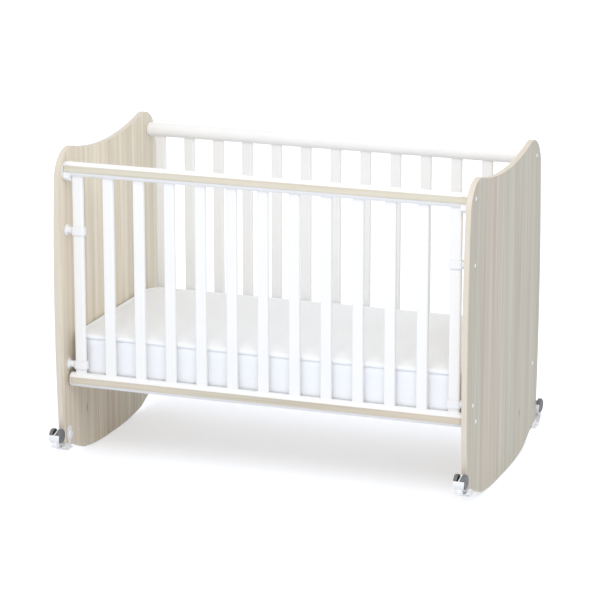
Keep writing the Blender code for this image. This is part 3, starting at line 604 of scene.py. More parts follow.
def white_plastic():
    """Injection-moulded nylon: a little glossier than the lacquer, with a fine spark
    texture 0.8 mm across."""
    return speckled("moulded_white_nylon", "plastic", 0.0008, 1, (0.98, 1.0), 0.15, 0.0001,
                    Roughness=0.3, IOR=1.53, Subsurface_Weight=0.05, Subsurface_Scale=0.002)


def wheel_plastic(name, ink):
    """Moulded polypropylene wheel, with scuffs 2.5 mm across where it has rolled."""
    return speckled(name, ink, 0.0025, 4, (0.9, 1.08, 0.3, 0.7), 0.2, 0.0002, Roughness=0.45, IOR=1.49)


def birch():
    """Planed birch, unfinished: pale, with growth lines 5 mm across along the slat."""
    return speckled("planed_birch", "birch", (0.005, 0.35, 0.005), 4, (1.04, 0.84, 0.35, 0.7), 0.3, 0.0002,
                    Roughness=0.6, IOR=1.5)


def mattress_cover():
    """Woven polyester cover: matt white with a soft sheen and slubs 12 mm across.  The
    threads are drawn 2.2 mm apart, ten times the real spacing, so that they show."""
    material, tree = new_material("woven_mattress_cover", Roughness=0.85, IOR=1.45, Sheen_Weight=0.25,
                                  Sheen_Roughness=0.5)
    place = add_node(tree, "TexCoord").outputs["Object"]
    turns = add_node(tree, "VectorMath", {0: place, "Scale": 2 * math.pi / 0.0022}, operation="SCALE")
    waves = add_node(tree, "VectorMath", {0: turns}, operation="SINE")
    parts = add_node(tree, "SeparateXYZ", {0: waves}).outputs
    crossed = add_node(tree, "Math", {0: parts["X"], 1: parts["Y"]}, operation="MULTIPLY")
    weave = add_node(tree, "Math", {0: crossed, 1: parts["Z"]}, operation="ADD")
    return coat(material, toned(tree, "cloth", cells(tree, 0.012, 3), 0.97, 1.01), weave, 0.12, 0.0003)


# End panels

def panel_outline():
    """The board's outline: a rocker arc, a foot turn, a straight ramp and its head, the
    seat, a small corner, the slow bow of the side, the top corner and the dip, mirrored."""
    sin_end, cos_end = math.sin(ROCKER_END_ANGLE), math.cos(ROCKER_END_ANGLE)
    sin_ramp, cos_ramp = math.sin(RAMP_ANGLE), math.cos(RAMP_ANGLE)
    seat_start = PANEL_DEPTH / 2 - SEAT_LENGTH
    run = seat_start - ROCKER_FLAT / 2 - FOOT_RADIUS * (sin_ramp - sin_end) - RAMP_HEAD_RADIUS * sin_ramp
    rise = SEAT_HEIGHT - FOOT_RADIUS * (cos_end - cos_ramp) - RAMP_HEAD_RADIUS * (1 - cos_ramp)
    radius = (run * sin_ramp - rise * cos_ramp) / (sin_end * sin_ramp - (1 - cos_end) * cos_ramp)
    down = -math.pi / 2
    rocker = arc((ROCKER_FLAT / 2, radius), radius, down, down + ROCKER_END_ANGLE, 24)
    foot_centre = rocker[-1] + FOOT_RADIUS * np.array([-sin_end, cos_end])
    foot = arc(foot_centre, FOOT_RADIUS, down + ROCKER_END_ANGLE, down + RAMP_ANGLE, 12)
    head = arc((seat_start, SEAT_HEIGHT - RAMP_HEAD_RADIUS), RAMP_HEAD_RADIUS,
               math.pi / 2 + RAMP_ANGLE, math.pi / 2, 16)

    side_centre = np.array([PANEL_DEPTH / 2 - SIDE_RADIUS, WIDEST_HEIGHT])
    low_height = SEAT_HEIGHT + LOW_CORNER_RADIUS
    low_reach = SIDE_RADIUS - LOW_CORNER_RADIUS
    low_drop = low_height - side_centre[1]
    low_centre = (side_centre[0] + math.sqrt(low_reach ** 2 - low_drop ** 2), low_height)
    low_angle = math.asin(low_drop / low_reach)
    low_corner = arc(low_centre, LOW_CORNER_RADIUS, down, low_angle, 12)

    dip_centre = np.array([0, DIP_HEIGHT + DIP_RADIUS])
    between = dip_centre - side_centre
    distance = np.linalg.norm(between)
    first, second = SIDE_RADIUS - TOP_CORNER_RADIUS, DIP_RADIUS + TOP_CORNER_RADIUS
    along = (distance ** 2 + first ** 2 - second ** 2) / (2 * distance)
    across = math.sqrt(first ** 2 - along ** 2)
    unit = between / distance
    top_centre = side_centre + unit * along + np.array([unit[1], -unit[0]]) * across
    top_angle = math.atan2(*(top_centre - side_centre)[::-1])
    turn_angle = math.atan2(*(dip_centre - top_centre)[::-1])
    side = arc(side_centre, SIDE_RADIUS, low_angle, top_angle, 60)
    top_corner = arc(top_centre, TOP_CORNER_RADIUS, top_angle, turn_angle, 40)
    dip = arc(dip_centre, DIP_RADIUS, turn_angle - math.pi, -math.pi / 2, 40)
    half = np.concatenate([rocker, foot[1:], head, low_corner, side[1:], top_corner[1:], dip[1:]])
    return mirrored(half, 1)


def screw_places():
    """(y, z) of the screw covers on an outer face, level with what each screw holds."""
    return ((-SIDE_Y, FRONT_RAIL_Z + SCREW_RISE), (-SIDE_Y, UPPER_GUIDE_Z), (-SIDE_Y, LOWER_GUIDE_Z),
            (-BASE_RAIL_Y, BASE_RAIL_Z), (SIDE_Y, BACK_RAIL_Z + SCREW_RISE), (SIDE_Y, BOTTOM_RAIL_Z))


def dome_profile(face, way):
    """Cap on a face: radius R cos a at the height H sin a, with a flat foot."""
    angles = np.linspace(0, math.radians(80), 6)
    foot = [(face - way * CAP_HEIGHT, CAP_RADIUS)]
    return foot + [(face + way * CAP_HEIGHT * math.sin(a), CAP_RADIUS * math.cos(a)) for a in angles]


class CRIB_OT_panels(bpy.types.Operator):
    """Make the two end panels with their edge banding and screw covers"""
    bl_idname = "crib.panels"
    bl_label = "End Panels"

    def execute(self, context):
        edge = context.scene.crib_sizes.board_round
        outline = panel_outline()
        banding = edge_banding()
        plastic = white_plastic()
        for word, side in SIDES:
            knots = KNOTS[word]
            # One foil in two tones: painted light on the inner faces, painted shade on the outer ones
            foils = (oak_foil("oak_inner_foil_" + word, "z", 3.1 + side, knots, INNER_PAINTED_LIGHT, INNER_COOLEST),
                     banding, oak_foil("oak_outer_foil_" + word, "z", 5.7 + side, knots, OUTER_PAINTED_SHADE))
            outer = side * (INNER_X + PANEL_THICKNESS)
            board = prism(outline, "x", side * INNER_X, outer, edge, 4)
            panel = make_piece("panel_board_" + word, [board], foils, 1, far_finish=2)
            dress(panel, "crib", "oak_laminate", "end_panel_" + word)
            domes = [turned(dome_profile(outer, side), "x", centre, 24) for centre in screw_places()]
            covers = make_piece("screw_covers_" + word, domes, (plastic,))
            dress(covers, "crib", "white_plastic")
        return {"FINISHED"}


# Rails, slats and strips

def tilted(outline, angle):
    """A section turned about the rail's axis, so that its front looks up by the angle."""
    y, z = outline[:, 0], outline[:, 1]
    sine, cosine = math.sin(angle), math.cos(angle)
    return np.stack([y * cosine + z * sine, z * cosine - y * sine], axis=1)


def rail_section(tilt):
    """A circle, or on the drop side a circle cut off by the flat that takes the strip."""
    if tilt is None:
        return circle(RAIL_RADIUS, 72)
    half_angle = math.acos(FLAT_DISTANCE / RAIL_RADIUS)
    return tilted(arc((0, 0), RAIL_RADIUS, half_angle - math.pi, math.pi - half_angle, 68), tilt)


class CRIB_OT_rails(bpy.types.Operator):
    """Make the four round rails"""
    bl_idname = "crib.rails"
    bl_label = "Rails"

    def execute(self, context):
        edge = context.scene.crib_sizes.rail_round
        lacquer = white_lacquer()
        for node, tilt, body in (("back_top_rail", None, "crib"), ("back_bottom_rail", None, "crib"),
                                 ("front_top_rail", TOP_TILT, "drop_side"),
                                 ("front_bottom_rail", BOTTOM_TILT, "drop_side")):
            low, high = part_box(node)
            section = rail_section(tilt) + (SIDE_Y if body == "crib" else -SIDE_Y, middle(node)[2])
            rail = make_piece("round_" + node, [prism(section, "x", low.x, high.x, edge, 4)], (lacquer,))
            dress(rail, body, "white_lacquer", node)
        return {"FINISHED"}


class CRIB_OT_slats(bpy.types.Operator):
    """Make the slats of both sides and the drop side's two posts"""
    bl_idname = "crib.slats"
    bl_label = "Slats"

    def execute(self, context):
        lacquer = bpy.data.materials["white_lacquered_beech"]
        outline = rounded_rectangle(SLAT_WIDTH / 2, SLAT_DEPTH / 2, SLAT_EDGE_RADIUS, 8)
        for node in sorted(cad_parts):
            if "_slat_" not in node and "_post_" not in node:
                continue
            low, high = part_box(node)
            body = prism(outline + middle(node)[:2], "z", low.z, high.z)
            slat = make_piece("round_edged_" + node, [body], (lacquer,))
            dress(slat, "crib" if node.startswith("back") else "drop_side", "white_lacquer", node)
        return {"FINISHED"}


class CRIB_OT_strips(bpy.types.Operator):
    """Make the wood strips along the two front rails"""
    bl_idname = "crib.strips"
    bl_label = "Wood Strips"

    def execute(self, context):
        foil = oak_foil("oak_strip_foil", "x", 8.3, tone=STRIP_TONE)
        reach = RAIL_RADIUS + STRIP_PROUD - STRIP_THICKNESS / 2
        for word, height, tilt in (("top", FRONT_RAIL_Z, TOP_TILT), ("bottom", BOTTOM_RAIL_Z, BOTTOM_TILT)):
            node = f"front_{word}_strip"
            low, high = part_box(node)
            section = rounded_rectangle(STRIP_THICKNESS / 2, STRIP_HEIGHT / 2, STRIP_EDGE, 4)
            section = tilted(section - (reach, 0), tilt) + (-SIDE_Y, height)
            body = prism(section, "x", low.x, high.x, STRIP_EDGE / 2)
            strip = make_piece("wood_" + node, [body], (foil,))
            dress(strip, "drop_side", "oak_strip", node)
        return {"FINISHED"}


# End fittings, catch plates and ring guides

def fitting_body(side, edge):
    """A turned cup cut off flat: a point past the flat's plane is moved back onto it."""
    inner, outer = side * FITTING_LOW.x, side * FITTING_HIGH.x
    radius = (FITTING_HIGH.z - FITTING_LOW.z) / 2
    axis = np.array([-SIDE_Y, FRONT_RAIL_Z])
    across = np.array([-math.cos(TOP_TILT), math.sin(TOP_TILT)])
    rings = []
    for along, size in rounded_profile(inner, outer, radius, edge, 6):
        ring = circle(size, 96, axis - (0, FITTING_DROP))
        past = np.maximum((ring - axis) @ across - FLAT_DISTANCE, 0)
        rings.append(lifted(ring - past[:, None] * across, along, "x"))
    return skin(rings)


class CRIB_OT_fittings(bpy.types.Operator):
    """Make the end fittings of the top rail and the catch plates behind them"""
    bl_idname = "crib.fittings"
    bl_label = "End Fittings"

    def execute(self, context):
        plastic = bpy.data.materials["moulded_white_nylon"]
        for word, side in SIDES:
            cup = make_piece("rail_end_cup_" + word, [fitting_body(side, FITTING_EDGE)], (plastic,))
            dress(cup, "drop_side", "white_plastic", "end_fitting_" + word)
            low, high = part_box("catch_plate_" + word)
            face, front = (high.x, low.x) if side > 0 else (low.x, high.x)
            centre = (-SIDE_Y, middle("catch_plate_" + word)[2])
            profile = [(face, PLATE_RADIUS), (front + side * PLATE_RIM, PLATE_RADIUS),
                       (front, PLATE_RADIUS - PLATE_RIM), (front, DIMPLE_RADIUS),
                       (front + side * DIMPLE_DEPTH * 0.7, DIMPLE_RADIUS * 0.8),
                       (front + side * DIMPLE_DEPTH, DIMPLE_RADIUS * 0.4)]
            plate = make_piece("round_catch_plate_" + word, [turned(profile, "x", centre, 64)], (plastic,))
            dress(plate, "crib", "white_plastic", "catch_plate_" + word)
        return {"FINISHED"}


def guide_ring(post_x, height):
    """A sleeve round the post: the wall's rounded section, GUIDE_WALL thick and
    GUIDE_HEIGHT tall, carried along the post's outline."""
    wall = rounded_rectangle(GUIDE_WALL / 2, GUIDE_HEIGHT / 2, GUIDE_LIP, 4)
    hole = rounded_rectangle(SLAT_WIDTH / 2 + GUIDE_GAP, SLAT_DEPTH / 2 + GUIDE_GAP,
                             SLAT_EDGE_RADIUS + GUIDE_GAP, 8)
    rings = []
    for out, up in wall:
        ring = inset_outline(hole, -(out + GUIDE_WALL / 2)) + (post_x, -SIDE_Y)
        rings.append(lifted(ring, height + up, "z"))
    return skin(rings, closed=True)


class CRIB_OT_guides(bpy.types.Operator):
    """Make the four ring guides that the posts slide through"""
    bl_idname = "crib.guides"
    bl_label = "Ring Guides"

    def execute(self, context):
        edge = context.scene.crib_sizes.moulding_round
        plastic = bpy.data.materials["moulded_white_nylon"]
        post = middle("front_post_right")[0]
        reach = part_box("upper_guide_right")[1].x
        for level, height in (("upper", UPPER_GUIDE_Z), ("lower", LOWER_GUIDE_Z)):
            for word, side in SIDES:
                face = side * reach
                flange_end = face - side * FLANGE_THICKNESS
                centre = (-SIDE_Y, height)
                flange = turned(rounded_profile(face, flange_end, FLANGE_RADIUS, edge), "x", centre)
                # The arm widens to a cone at the flange and stops in the ring's wall
                arm_end = side * (post + SLAT_WIDTH / 2 + GUIDE_GAP + GUIDE_WALL / 2)
                arm = [(flange_end + side * edge, ARM_RADIUS + ARM_FLARE)]
                arm += [(flange_end - side * ARM_FLARE * math.sin(a),
                         ARM_RADIUS + ARM_FLARE * (1 - math.sin(a))) for a in np.linspace(0, math.pi / 2, 6)]
                arm += [(arm_end, ARM_RADIUS)]
                bodies = [flange, turned(arm, "x", centre), guide_ring(side * post, height)]
                guide = make_piece(f"ring_guide_{level}_{word}", bodies, (plastic,))
                dress(guide, "crib", "white_plastic", f"{level}_guide_{word}")
        return {"FINISHED"}


# Bed base and mattress

class CRIB_OT_bed_base(bpy.types.Operator):
    """Make the slatted bed base"""
    bl_idname = "crib.bed_base"
    bl_label = "Bed Base"

    def execute(self, context):
        wood = birch()
        half_x = BASE_HIGH.x
        section = rounded_rectangle(BASE_RAIL_WIDTH / 2, BASE_RAIL_HEIGHT / 2, BASE_RAIL_ROUND, 4)
        for word, way in (("front", -1), ("back", 1)):
            body = prism(section + (way * BASE_RAIL_Y, BASE_RAIL_Z), "x", -half_x, half_x,
                         BASE_RAIL_END_ROUND)
            rail = make_piece("base_rail_" + word, [body], (wood,))
            dress(rail, "crib", "birch_slats", "bed_base")
        outermost = INNER_X - BASE_END_GAP - BASE_SLAT_WIDTH / 2
        slat_z = BASE_HIGH.z - BASE_SLAT_DROP - BASE_SLAT_THICKNESS / 2
        board = rounded_rectangle(BASE_SLAT_WIDTH / 2, BASE_SLAT_THICKNESS / 2, BASE_SLAT_ROUND, 4)
        for i, x in enumerate(np.linspace(-outermost, outermost, BASE_SLAT_COUNT)):
            body = prism(board + (x, slat_z), "y", -BASE_RAIL_Y, BASE_RAIL_Y)
            slat = make_piece(f"base_slat_{i + 1:02d}", [body], (wood,))
            dress(slat, "crib", "birch_slats")
        return {"FINISHED"}


def mattress_shell():
    """Rounded rectangles at each height: a quarter-round foot, a border drawn in by half a
    sine, the seam, and a crown that rises by a quarter of a sine."""
    steps = [(inset, COVER_BOTTOM + rise) for inset, rise in quarter_round(MATTRESS_FOOT, 4)]
    border_bottom = COVER_BOTTOM + MATTRESS_FOOT
    for share in np.linspace(0.15, 0.85, 6):
        height = border_bottom + (SEAM_Z - border_bottom) * share
        steps.append((BORDER_INSET + MATTRESS_DRAWN_IN * math.sin(math.pi * share) / 2, height))
    steps.append((ROLL_RADIUS, SEAM_Z))
    for share in (0.005, 0.04, 0.12, 0.25, 0.45, 0.7):
        rise = MATTRESS_CROWN * math.sin(share * math.pi / 2)
        steps.append((ROLL_RADIUS + COVER_Y * share, COVER_TOP - FIT + rise))
    rings = []
    for inset, height in steps:
        corner = max(MATTRESS_CORNER - inset, SMALLEST_CORNER)
        rings.append(lifted(rounded_rectangle(COVER_X - inset, COVER_Y - inset, corner, 8), height, "z"))
    return skin(rings)


def read_points(mesh):
    """A mesh's points as one array."""
    points = np.empty(len(mesh.vertices) * 3)
    mesh.vertices.foreach_get("co", points)
    return points.reshape(-1, 3)


def swell(piece):
    """Air pressure pushes the cover out between its seams, up to a limit per point: a way
    of length d becomes one of d times the limit over d plus the limit."""
    group = piece.vertex_groups.new(name="seams")
    points = read_points(piece.data)
    edge = np.maximum(np.abs(points[:, 0]) - COVER_X, np.abs(points[:, 1]) - COVER_Y)
    sewn = (points[:, 2] > SEAM_Z - VOXEL) & (edge > -SEAM_REACH)
    sewn |= points[:, 2] < COVER_BOTTOM + MATTRESS_FOOT / 2
    group.add(np.nonzero(sewn)[0].tolist(), 1.0, "REPLACE")
    cloth = piece.modifiers.new("cover", "CLOTH")
    cloth.settings.quality = 4
    cloth.settings.use_pressure = True
    cloth.settings.uniform_pressure_force = 4
    cloth.settings.vertex_group_mass = "seams"
    cloth.settings.effector_weights.gravity = 0
    cloth.settings.bending_stiffness = 2
    cloth.point_cache.frame_start = 1
    cloth.point_cache.frame_end = CLOTH_STEPS
    for step in range(1, CLOTH_STEPS + 1):
        bpy.context.scene.frame_set(step)
    graph = bpy.context.evaluated_depsgraph_get()
    way = read_points(piece.evaluated_get(graph).data) - points
    length = np.linalg.norm(way, axis=1, keepdims=True)
    limit = np.where(points[:, 2:] > SEAM_Z, TOP_SWELL, BORDER_SWELL)
    way *= limit / np.maximum(length + limit, 1e-9)
    piece.modifiers.remove(cloth)
    piece.vertex_groups.remove(group)
    piece.data.vertices.foreach_set("co", (points + way).ravel())
    bpy.context.scene.frame_set(1)


def gather(piece):
    """Faint upright folds in the border, and puckers beside the roll.

    The place along the border is the length along x or y.  Three sines of unlike length
    add up to uneven folds, deepest just under the roll.
    """
    points = read_points(piece.data)
    x, y, z = points.T
    long_side = (COVER_Y - np.abs(y)) < (COVER_X - np.abs(x))
    along = np.where(long_side, x, y + GATHER_SHIFT)
    turn = 2 * math.pi * along / GATHER_SPACING
    folds = np.sin(turn + 1.3 * np.sin(turn * 0.21))
    folds += 0.6 * np.sin(turn * 0.43 + 1.1)
    folds += 0.5 * np.sin(turn * 1.71 + 2.0)
    inward = np.zeros_like(points)
    inward[:, 0] = np.where(long_side, 0, -np.sign(x))
    inward[:, 1] = np.where(long_side, -np.sign(y), 0)
    corner = np.minimum(np.maximum(COVER_X - np.abs(x), COVER_Y - np.abs(y)) / MATTRESS_CORNER, 1)
    height = np.clip((z - COVER_BOTTOM) / (SEAM_Z - COVER_BOTTOM), 0, 1)
    border = np.where(z < SEAM_Z - ROLL_RADIUS / 2, np.sin(np.pi * height) ** 0.5 * (0.4 + 0.6 * height), 0)
    depth = GATHER_DEPTH * (0.5 + 0.25 * folds) * border * corner
    points += inward * depth[:, None]
    edge_distance = np.minimum(COVER_X - np.abs(x), COVER_Y - np.abs(y))
    pucker = np.exp(-edge_distance / PUCKER_REACH) * (z > SEAM_Z) * corner
    points[:, 2] -= PUCKER_DEPTH * (1 + folds / 2) * pucker
    piece.data.vertices.foreach_set("co", points.ravel())


def roll_body():
    """The roll round the top edge: a circle carried along a rounded rectangle."""
    centre_line = rounded_rectangle(COVER_X - ROLL_RADIUS, COVER_Y - ROLL_RADIUS,
                                    MATTRESS_CORNER - ROLL_RADIUS, 14)
    rings = [lifted(inset_outline(centre_line, -out), SEAM_Z + up, "z")
             for out, up in circle(ROLL_RADIUS, 24)]
    return skin(rings, closed=True)


class CRIB_OT_mattress(bpy.types.Operator):
    """Make the mattress: a swollen cover with gathers, and the roll round its top edge"""
    bl_idname = "crib.mattress"
    bl_label = "Mattress"

    def execute(self, context):
        cover = mattress_cover()
        piece = make_piece("mattress_cover", [mattress_shell()], (cover,))
        piece.modifiers.clear()
        remesh = piece.modifiers.new("even cells", "REMESH")
        remesh.mode = "VOXEL"
        remesh.voxel_size = VOXEL
        graph = context.evaluated_depsgraph_get()
        even = bpy.data.meshes.new_from_object(piece.evaluated_get(graph))
        piece.modifiers.clear()
        piece.data = even
        even.materials.clear()
        even.materials.append(cover)
        swell(piece)
        gather(piece)
        even.shade_smooth()
        smooth = piece.modifiers.new("soft", "SUBSURF")
        smooth.levels = 1
        smooth.render_levels = 1
        dress(piece, "crib", "mattress_cloth", "mattress")
        roll = make_piece("mattress_edge_roll", [roll_body()], (cover,))
        dress(roll, "crib", "mattress_cloth")
        return {"FINISHED"}


# Casters: drawn with the hinge pin at the origin, outwards along -Y

def web_outline():
    """The web reaches the pin beside the middle knuckle, and has round far corners."""
    inner = HINGE_SPLIT + FIT / 2
    corner = (HINGE_HALF - WEB_CORNER, WEB_LENGTH - WEB_CORNER)
    right = np.concatenate([[(inner, SETBACK), (inner, 0), (HINGE_HALF, 0)],
                            arc(corner, WEB_CORNER, 0, math.pi / 2, 8)])
    return mirrored(right, 0)


def leaf_outline():
    """A tongue to the pin, full width to the shoulder, a taper and a round end."""
    outer = HINGE_SPLIT - FIT / 2
    swivel = np.array([0, -SWIVEL_OFFSET])
    back = np.array([HINGE_HALF, -LEAF_SHOULDER]) - swivel
    tangent = math.atan2(back[1], back[0]) - math.acos(LEAF_END_RADIUS / np.linalg.norm(back))
    right = np.concatenate([[(outer, 0), (outer, -SETBACK), (HINGE_HALF, -SETBACK),
                             (HINGE_HALF, -LEAF_SHOULDER)],
                            arc(swivel, LEAF_END_RADIUS, tangent, -math.pi / 2, 12)])
    return mirrored(right, 1)[::-1]


def shoe_outline():
    """Side view of the shoe round the board's corner: an arc half a wall outside the
    corner, and a top edge that falls towards the back."""
    drop = WIDEST_HEIGHT - SEAT_HEIGHT - LOW_CORNER_RADIUS
    inset = SIDE_RADIUS - math.sqrt(SIDE_RADIUS ** 2 - drop ** 2)
    corner_y = HINGE_Y - PANEL_DEPTH / 2 + inset + LOW_CORNER_RADIUS
    corner = (corner_y, SEAT_HEIGHT + LOW_CORNER_RADIUS - HINGE_Z)
    around = arc(corner, LOW_CORNER_RADIUS + SHOE_WALL / 2, math.pi, math.pi * 1.5, 12)
    front = around[0, 0]
    top = [(SHOE_LENGTH, around[-1, 1]), (SHOE_LENGTH, SHOE_BACK_HEIGHT - SHOE_CHAMFER),
           (SHOE_LENGTH - SHOE_CHAMFER, SHOE_BACK_HEIGHT),
           (front + SHOE_CHAMFER, SHOE_FRONT_HEIGHT + SHOE_CHAMFER / 2), (front, SHOE_FRONT_HEIGHT)]
    return np.concatenate([top, around])


def bracket_bodies(tab_side, edge):
    """Web under the seat, shoe round the board's corner, arched tab on the panel with its
    boss, knuckles and pin."""
    web = prism(web_outline(), "z", WEB_BOTTOM, WEB_TOP, edge)
    shoe_half = PANEL_THICKNESS / 2 + SHOE_WALL
    shoe = prism(shoe_outline(), "x", -shoe_half, shoe_half, edge)
    inner = tab_side * (PANEL_THICKNESS / 2 + FIT)
    outer = inner + tab_side * TAB_THICKNESS
    foot = (WEB_BOTTOM + WEB_TOP) / 2
    arch = arc((TAB_OFFSET, TAB_HEIGHT - TAB_HALF), TAB_HALF, 0, math.pi, 24)
    waist = TAB_STEM_HEIGHT + TAB_HALF - TAB_STEM_HALF
    right = [(TAB_OFFSET + TAB_STEM_HALF, foot), (TAB_OFFSET + TAB_STEM_HALF, TAB_STEM_HEIGHT),
             (TAB_OFFSET + TAB_HALF, waist)]
    left = [(2 * TAB_OFFSET - y, z) for y, z in reversed(right)]
    tab = prism(np.concatenate([right, arch, left]), "x", inner, outer, edge)
    boss_profile = rounded_profile(inner, outer + tab_side * BOSS_HEIGHT, BOSS_RADIUS, BOSS_EDGE, 5)
    boss = turned(boss_profile, "x", (TAB_OFFSET, BOSS_LIFT))
    bodies = [web, shoe, tab, boss]
    for side in (-1, 1):
        bodies.append(turned(rounded_profile(side * (HINGE_SPLIT + FIT / 2), side * HINGE_HALF,
                                             KNUCKLE_RADIUS, KNUCKLE_EDGE), "x", sides=32))
    bodies.append(turned(rounded_profile(-HINGE_HALF, HINGE_HALF, PIN_RADIUS, PIN_EDGE), "x", sides=24))
    return bodies


def leaf_bodies(edge):
    """Folding leaf with flanges along its sides, its middle knuckle and the raised seat of
    the swivel."""
    leaf = prism(leaf_outline(), "z", LEAF_NEAR, LEAF_FAR, edge)
    split = HINGE_SPLIT - FIT / 2
    knuckle = turned(rounded_profile(-split, split, KNUCKLE_RADIUS, KNUCKLE_EDGE), "x", sides=32)
    seat = turned(rounded_profile(LEAF_NEAR + edge, HOOD_BASE - FIT, SWIVEL_SEAT_RADIUS, KNUCKLE_EDGE),
                  "z", (0, -SWIVEL_OFFSET))
    bodies = [leaf, knuckle, seat]
    foot = (LEAF_NEAR + LEAF_FAR) / 2
    outline = leaf_outline()
    rim = outline[outline[:, 0] > 0]
    rim = rim[np.argsort(-rim[:, 1])]
    # A flange's top rises from its tip by half of the way along it, up to its full height
    along = -np.linspace(FLANGE_START, FLANGE_END, 16)
    outer = np.interp(-along, -rim[:, 1], rim[:, 0])
    rise = FLANGE_TOP - foot
    top = foot + rise * np.minimum(1, (FLANGE_END + along) / (2 * rise) + FLANGE_TIP)
    low = np.full_like(top, foot)
    for side in (-1, 1):
        near, far = side * (outer - FLANGE_WALL), side * outer
        x = np.stack([near, far, far, far - side * edge, near + side * edge, near], axis=1)
        z = np.stack([low, low, top - edge, top, top, top - edge], axis=1)
        y = np.broadcast_to(along[:, None], x.shape)
        bodies.append(skin(np.stack([x, y, z], axis=2)))
    return bodies


def hood_bodies(edge):
    """Raceway and neck, the bowl round the wheels, its middle rib and the hub."""
    axle = (TRAIL - SWIVEL_OFFSET, WHEEL_LIFT)
    swivel = (0, -SWIVEL_OFFSET)
    neck_top = WHEEL_LIFT - math.sqrt(HOOD_INNER ** 2 - (TRAIL + NECK_RADIUS) ** 2)
    raceway_top = HOOD_BASE + RACEWAY_HEIGHT
    # The raceway narrows to the neck in a cone
    cone = [(raceway_top + (RACEWAY_RADIUS - NECK_RADIUS) * math.sin(a),
             NECK_RADIUS + (RACEWAY_RADIUS - NECK_RADIUS) * (1 - math.sin(a)))
            for a in np.linspace(0.3, math.pi / 2, 6)]
    neck = turned([(HOOD_BASE - FIT / 2, STEM_RADIUS), (HOOD_BASE, RACEWAY_RADIUS - edge),
                   (HOOD_BASE + edge, RACEWAY_RADIUS), (raceway_top - edge, RACEWAY_RADIUS),
                   (raceway_top, RACEWAY_RADIUS - edge)] + cone + [(neck_top, NECK_RADIUS)], "z", swivel)
    # The bowl is a wall carried round the axle, narrowed by sin^2 to its waist half way round
    wall_radius = (HOOD_INNER + HOOD_OUTER) / 2
    rings = []
    for angle in np.linspace(HOOD_START, HOOD_END, 41):
        share = (angle - HOOD_START) / (HOOD_END - HOOD_START)
        half = HOOD_HALF - HOOD_WAIST * math.sin(math.pi * share) ** 2
        wall = rounded_rectangle(half, wall_radius - HOOD_INNER, edge, 3)
        radius = wall_radius + wall[:, 1]
        rings.append(np.stack([wall[:, 0], axle[0] + radius * math.cos(angle),
                               axle[1] + radius * math.sin(angle)], axis=1))
    bowl = skin(rings)
    rib_outline = np.concatenate([arc(axle, wall_radius, HOOD_START, HOOD_END, 40),
                                  arc(axle, WHEEL_RADIUS - RIB_INSIDE, HOOD_END, RIB_TOP, 24)])
    rib = prism(rib_outline, "x", -RIB_HALF, RIB_HALF)
    room = WHEEL_INNER - HUB_ROOM
    hub = turned(rounded_profile(-room, room, HUB_RADIUS, HUB_EDGE), "x", axle)
    return [bowl, rib, hub, neck]


def wheel_bodies():
    """Two wheels, a dark disc in each one's hollow inner side that paints the shade there,
    and the axle.  Each wheel is turned: a hollow inner side, a tread, a rounded shoulder,
    and a dished face with a raised ring and hub."""
    axle = (TRAIL - SWIVEL_OFFSET, WHEEL_LIFT)
    hollow = WHEEL_RADIUS - WHEEL_WALL
    profile = [(WHEEL_INNER + WHEEL_RECESS, AXLE_RADIUS), (WHEEL_INNER + WHEEL_RECESS, hollow),
               (WHEEL_INNER, WHEEL_RADIUS - WHEEL_LIP), (WHEEL_INNER + WHEEL_LIP_WIDTH, WHEEL_RADIUS)]
    profile += [(WHEEL_OUTER - inset, WHEEL_RADIUS - depth)
                for inset, depth in quarter_round(WHEEL_SHOULDER, 6)]
    profile += [(WHEEL_OUTER - depth, radius) for depth, radius in WHEEL_FACE]
    wheels, shade_discs = [], []
    for side in (-1, 1):
        wheels.append(turned([(side * x, radius) for x, radius in profile], "x", axle, 56))
        core = rounded_profile(side * (WHEEL_INNER + SHADE_DISC_BACK), side * (WHEEL_INNER + SHADE_DISC_FRONT),
                               hollow, SHADE_DISC_EDGE)
        shade_discs.append(turned(core, "x", axle, 56))
    reach = WHEEL_INNER + AXLE_GRIP
    return wheels + shade_discs + [turned([(-reach, AXLE_RADIUS), (reach, AXLE_RADIUS)], "x", axle, 32)]


class CRIB_OT_casters(bpy.types.Operator):
    """Make the four fold-away casters with their brackets"""
    bl_idname = "crib.casters"
    bl_label = "Casters"

    def execute(self, context):
        edge = context.scene.crib_sizes.moulding_round
        plastic = bpy.data.materials["moulded_white_nylon"]
        # The second finish is painted shade, for the dark discs in the wheels' hollow inner sides
        greys = (wheel_plastic("grey_polypropylene", "wheel"), wheel_plastic("dark_polypropylene", "core"))
        panel_middle = INNER_X + PANEL_THICKNESS / 2
        for depth_word, depth in (("front", -1), ("back", 1)):
            for length_word, side in SIDES:
                corner = f"{depth_word}_{length_word}"
                turn = Matrix.Rotation(0 if depth < 0 else math.pi, 4, "Z")
                pin = Matrix.Translation((side * panel_middle, depth * HINGE_Y, HINGE_Z)) @ turn
                fold = pin @ Matrix.Rotation(-STOWED_TILT, 4, "X")
                for kind, body, matrix, bodies in (
                        ("bracket", "crib", pin, bracket_bodies(side * depth, edge)),
                        ("leaf", "leaf_" + corner, fold, leaf_bodies(edge)),
                        ("hood", "swivel_" + corner, fold, hood_bodies(edge)),
                        ("wheels", "wheels_" + corner, fold, wheel_bodies())):
                    slot, finishes, dark = "white_plastic", (plastic,), ()
                    if kind == "wheels":
                        slot, finishes, dark = "grey_wheel", greys, (2, 3)
                    placed = [moved(part, matrix) for part in bodies]
                    piece = make_piece(f"moulded_{kind}_{corner}", placed, finishes, second=dark)
                    dress(piece, body, slot, f"caster_{kind}_{corner}")
        return {"FINISHED"}


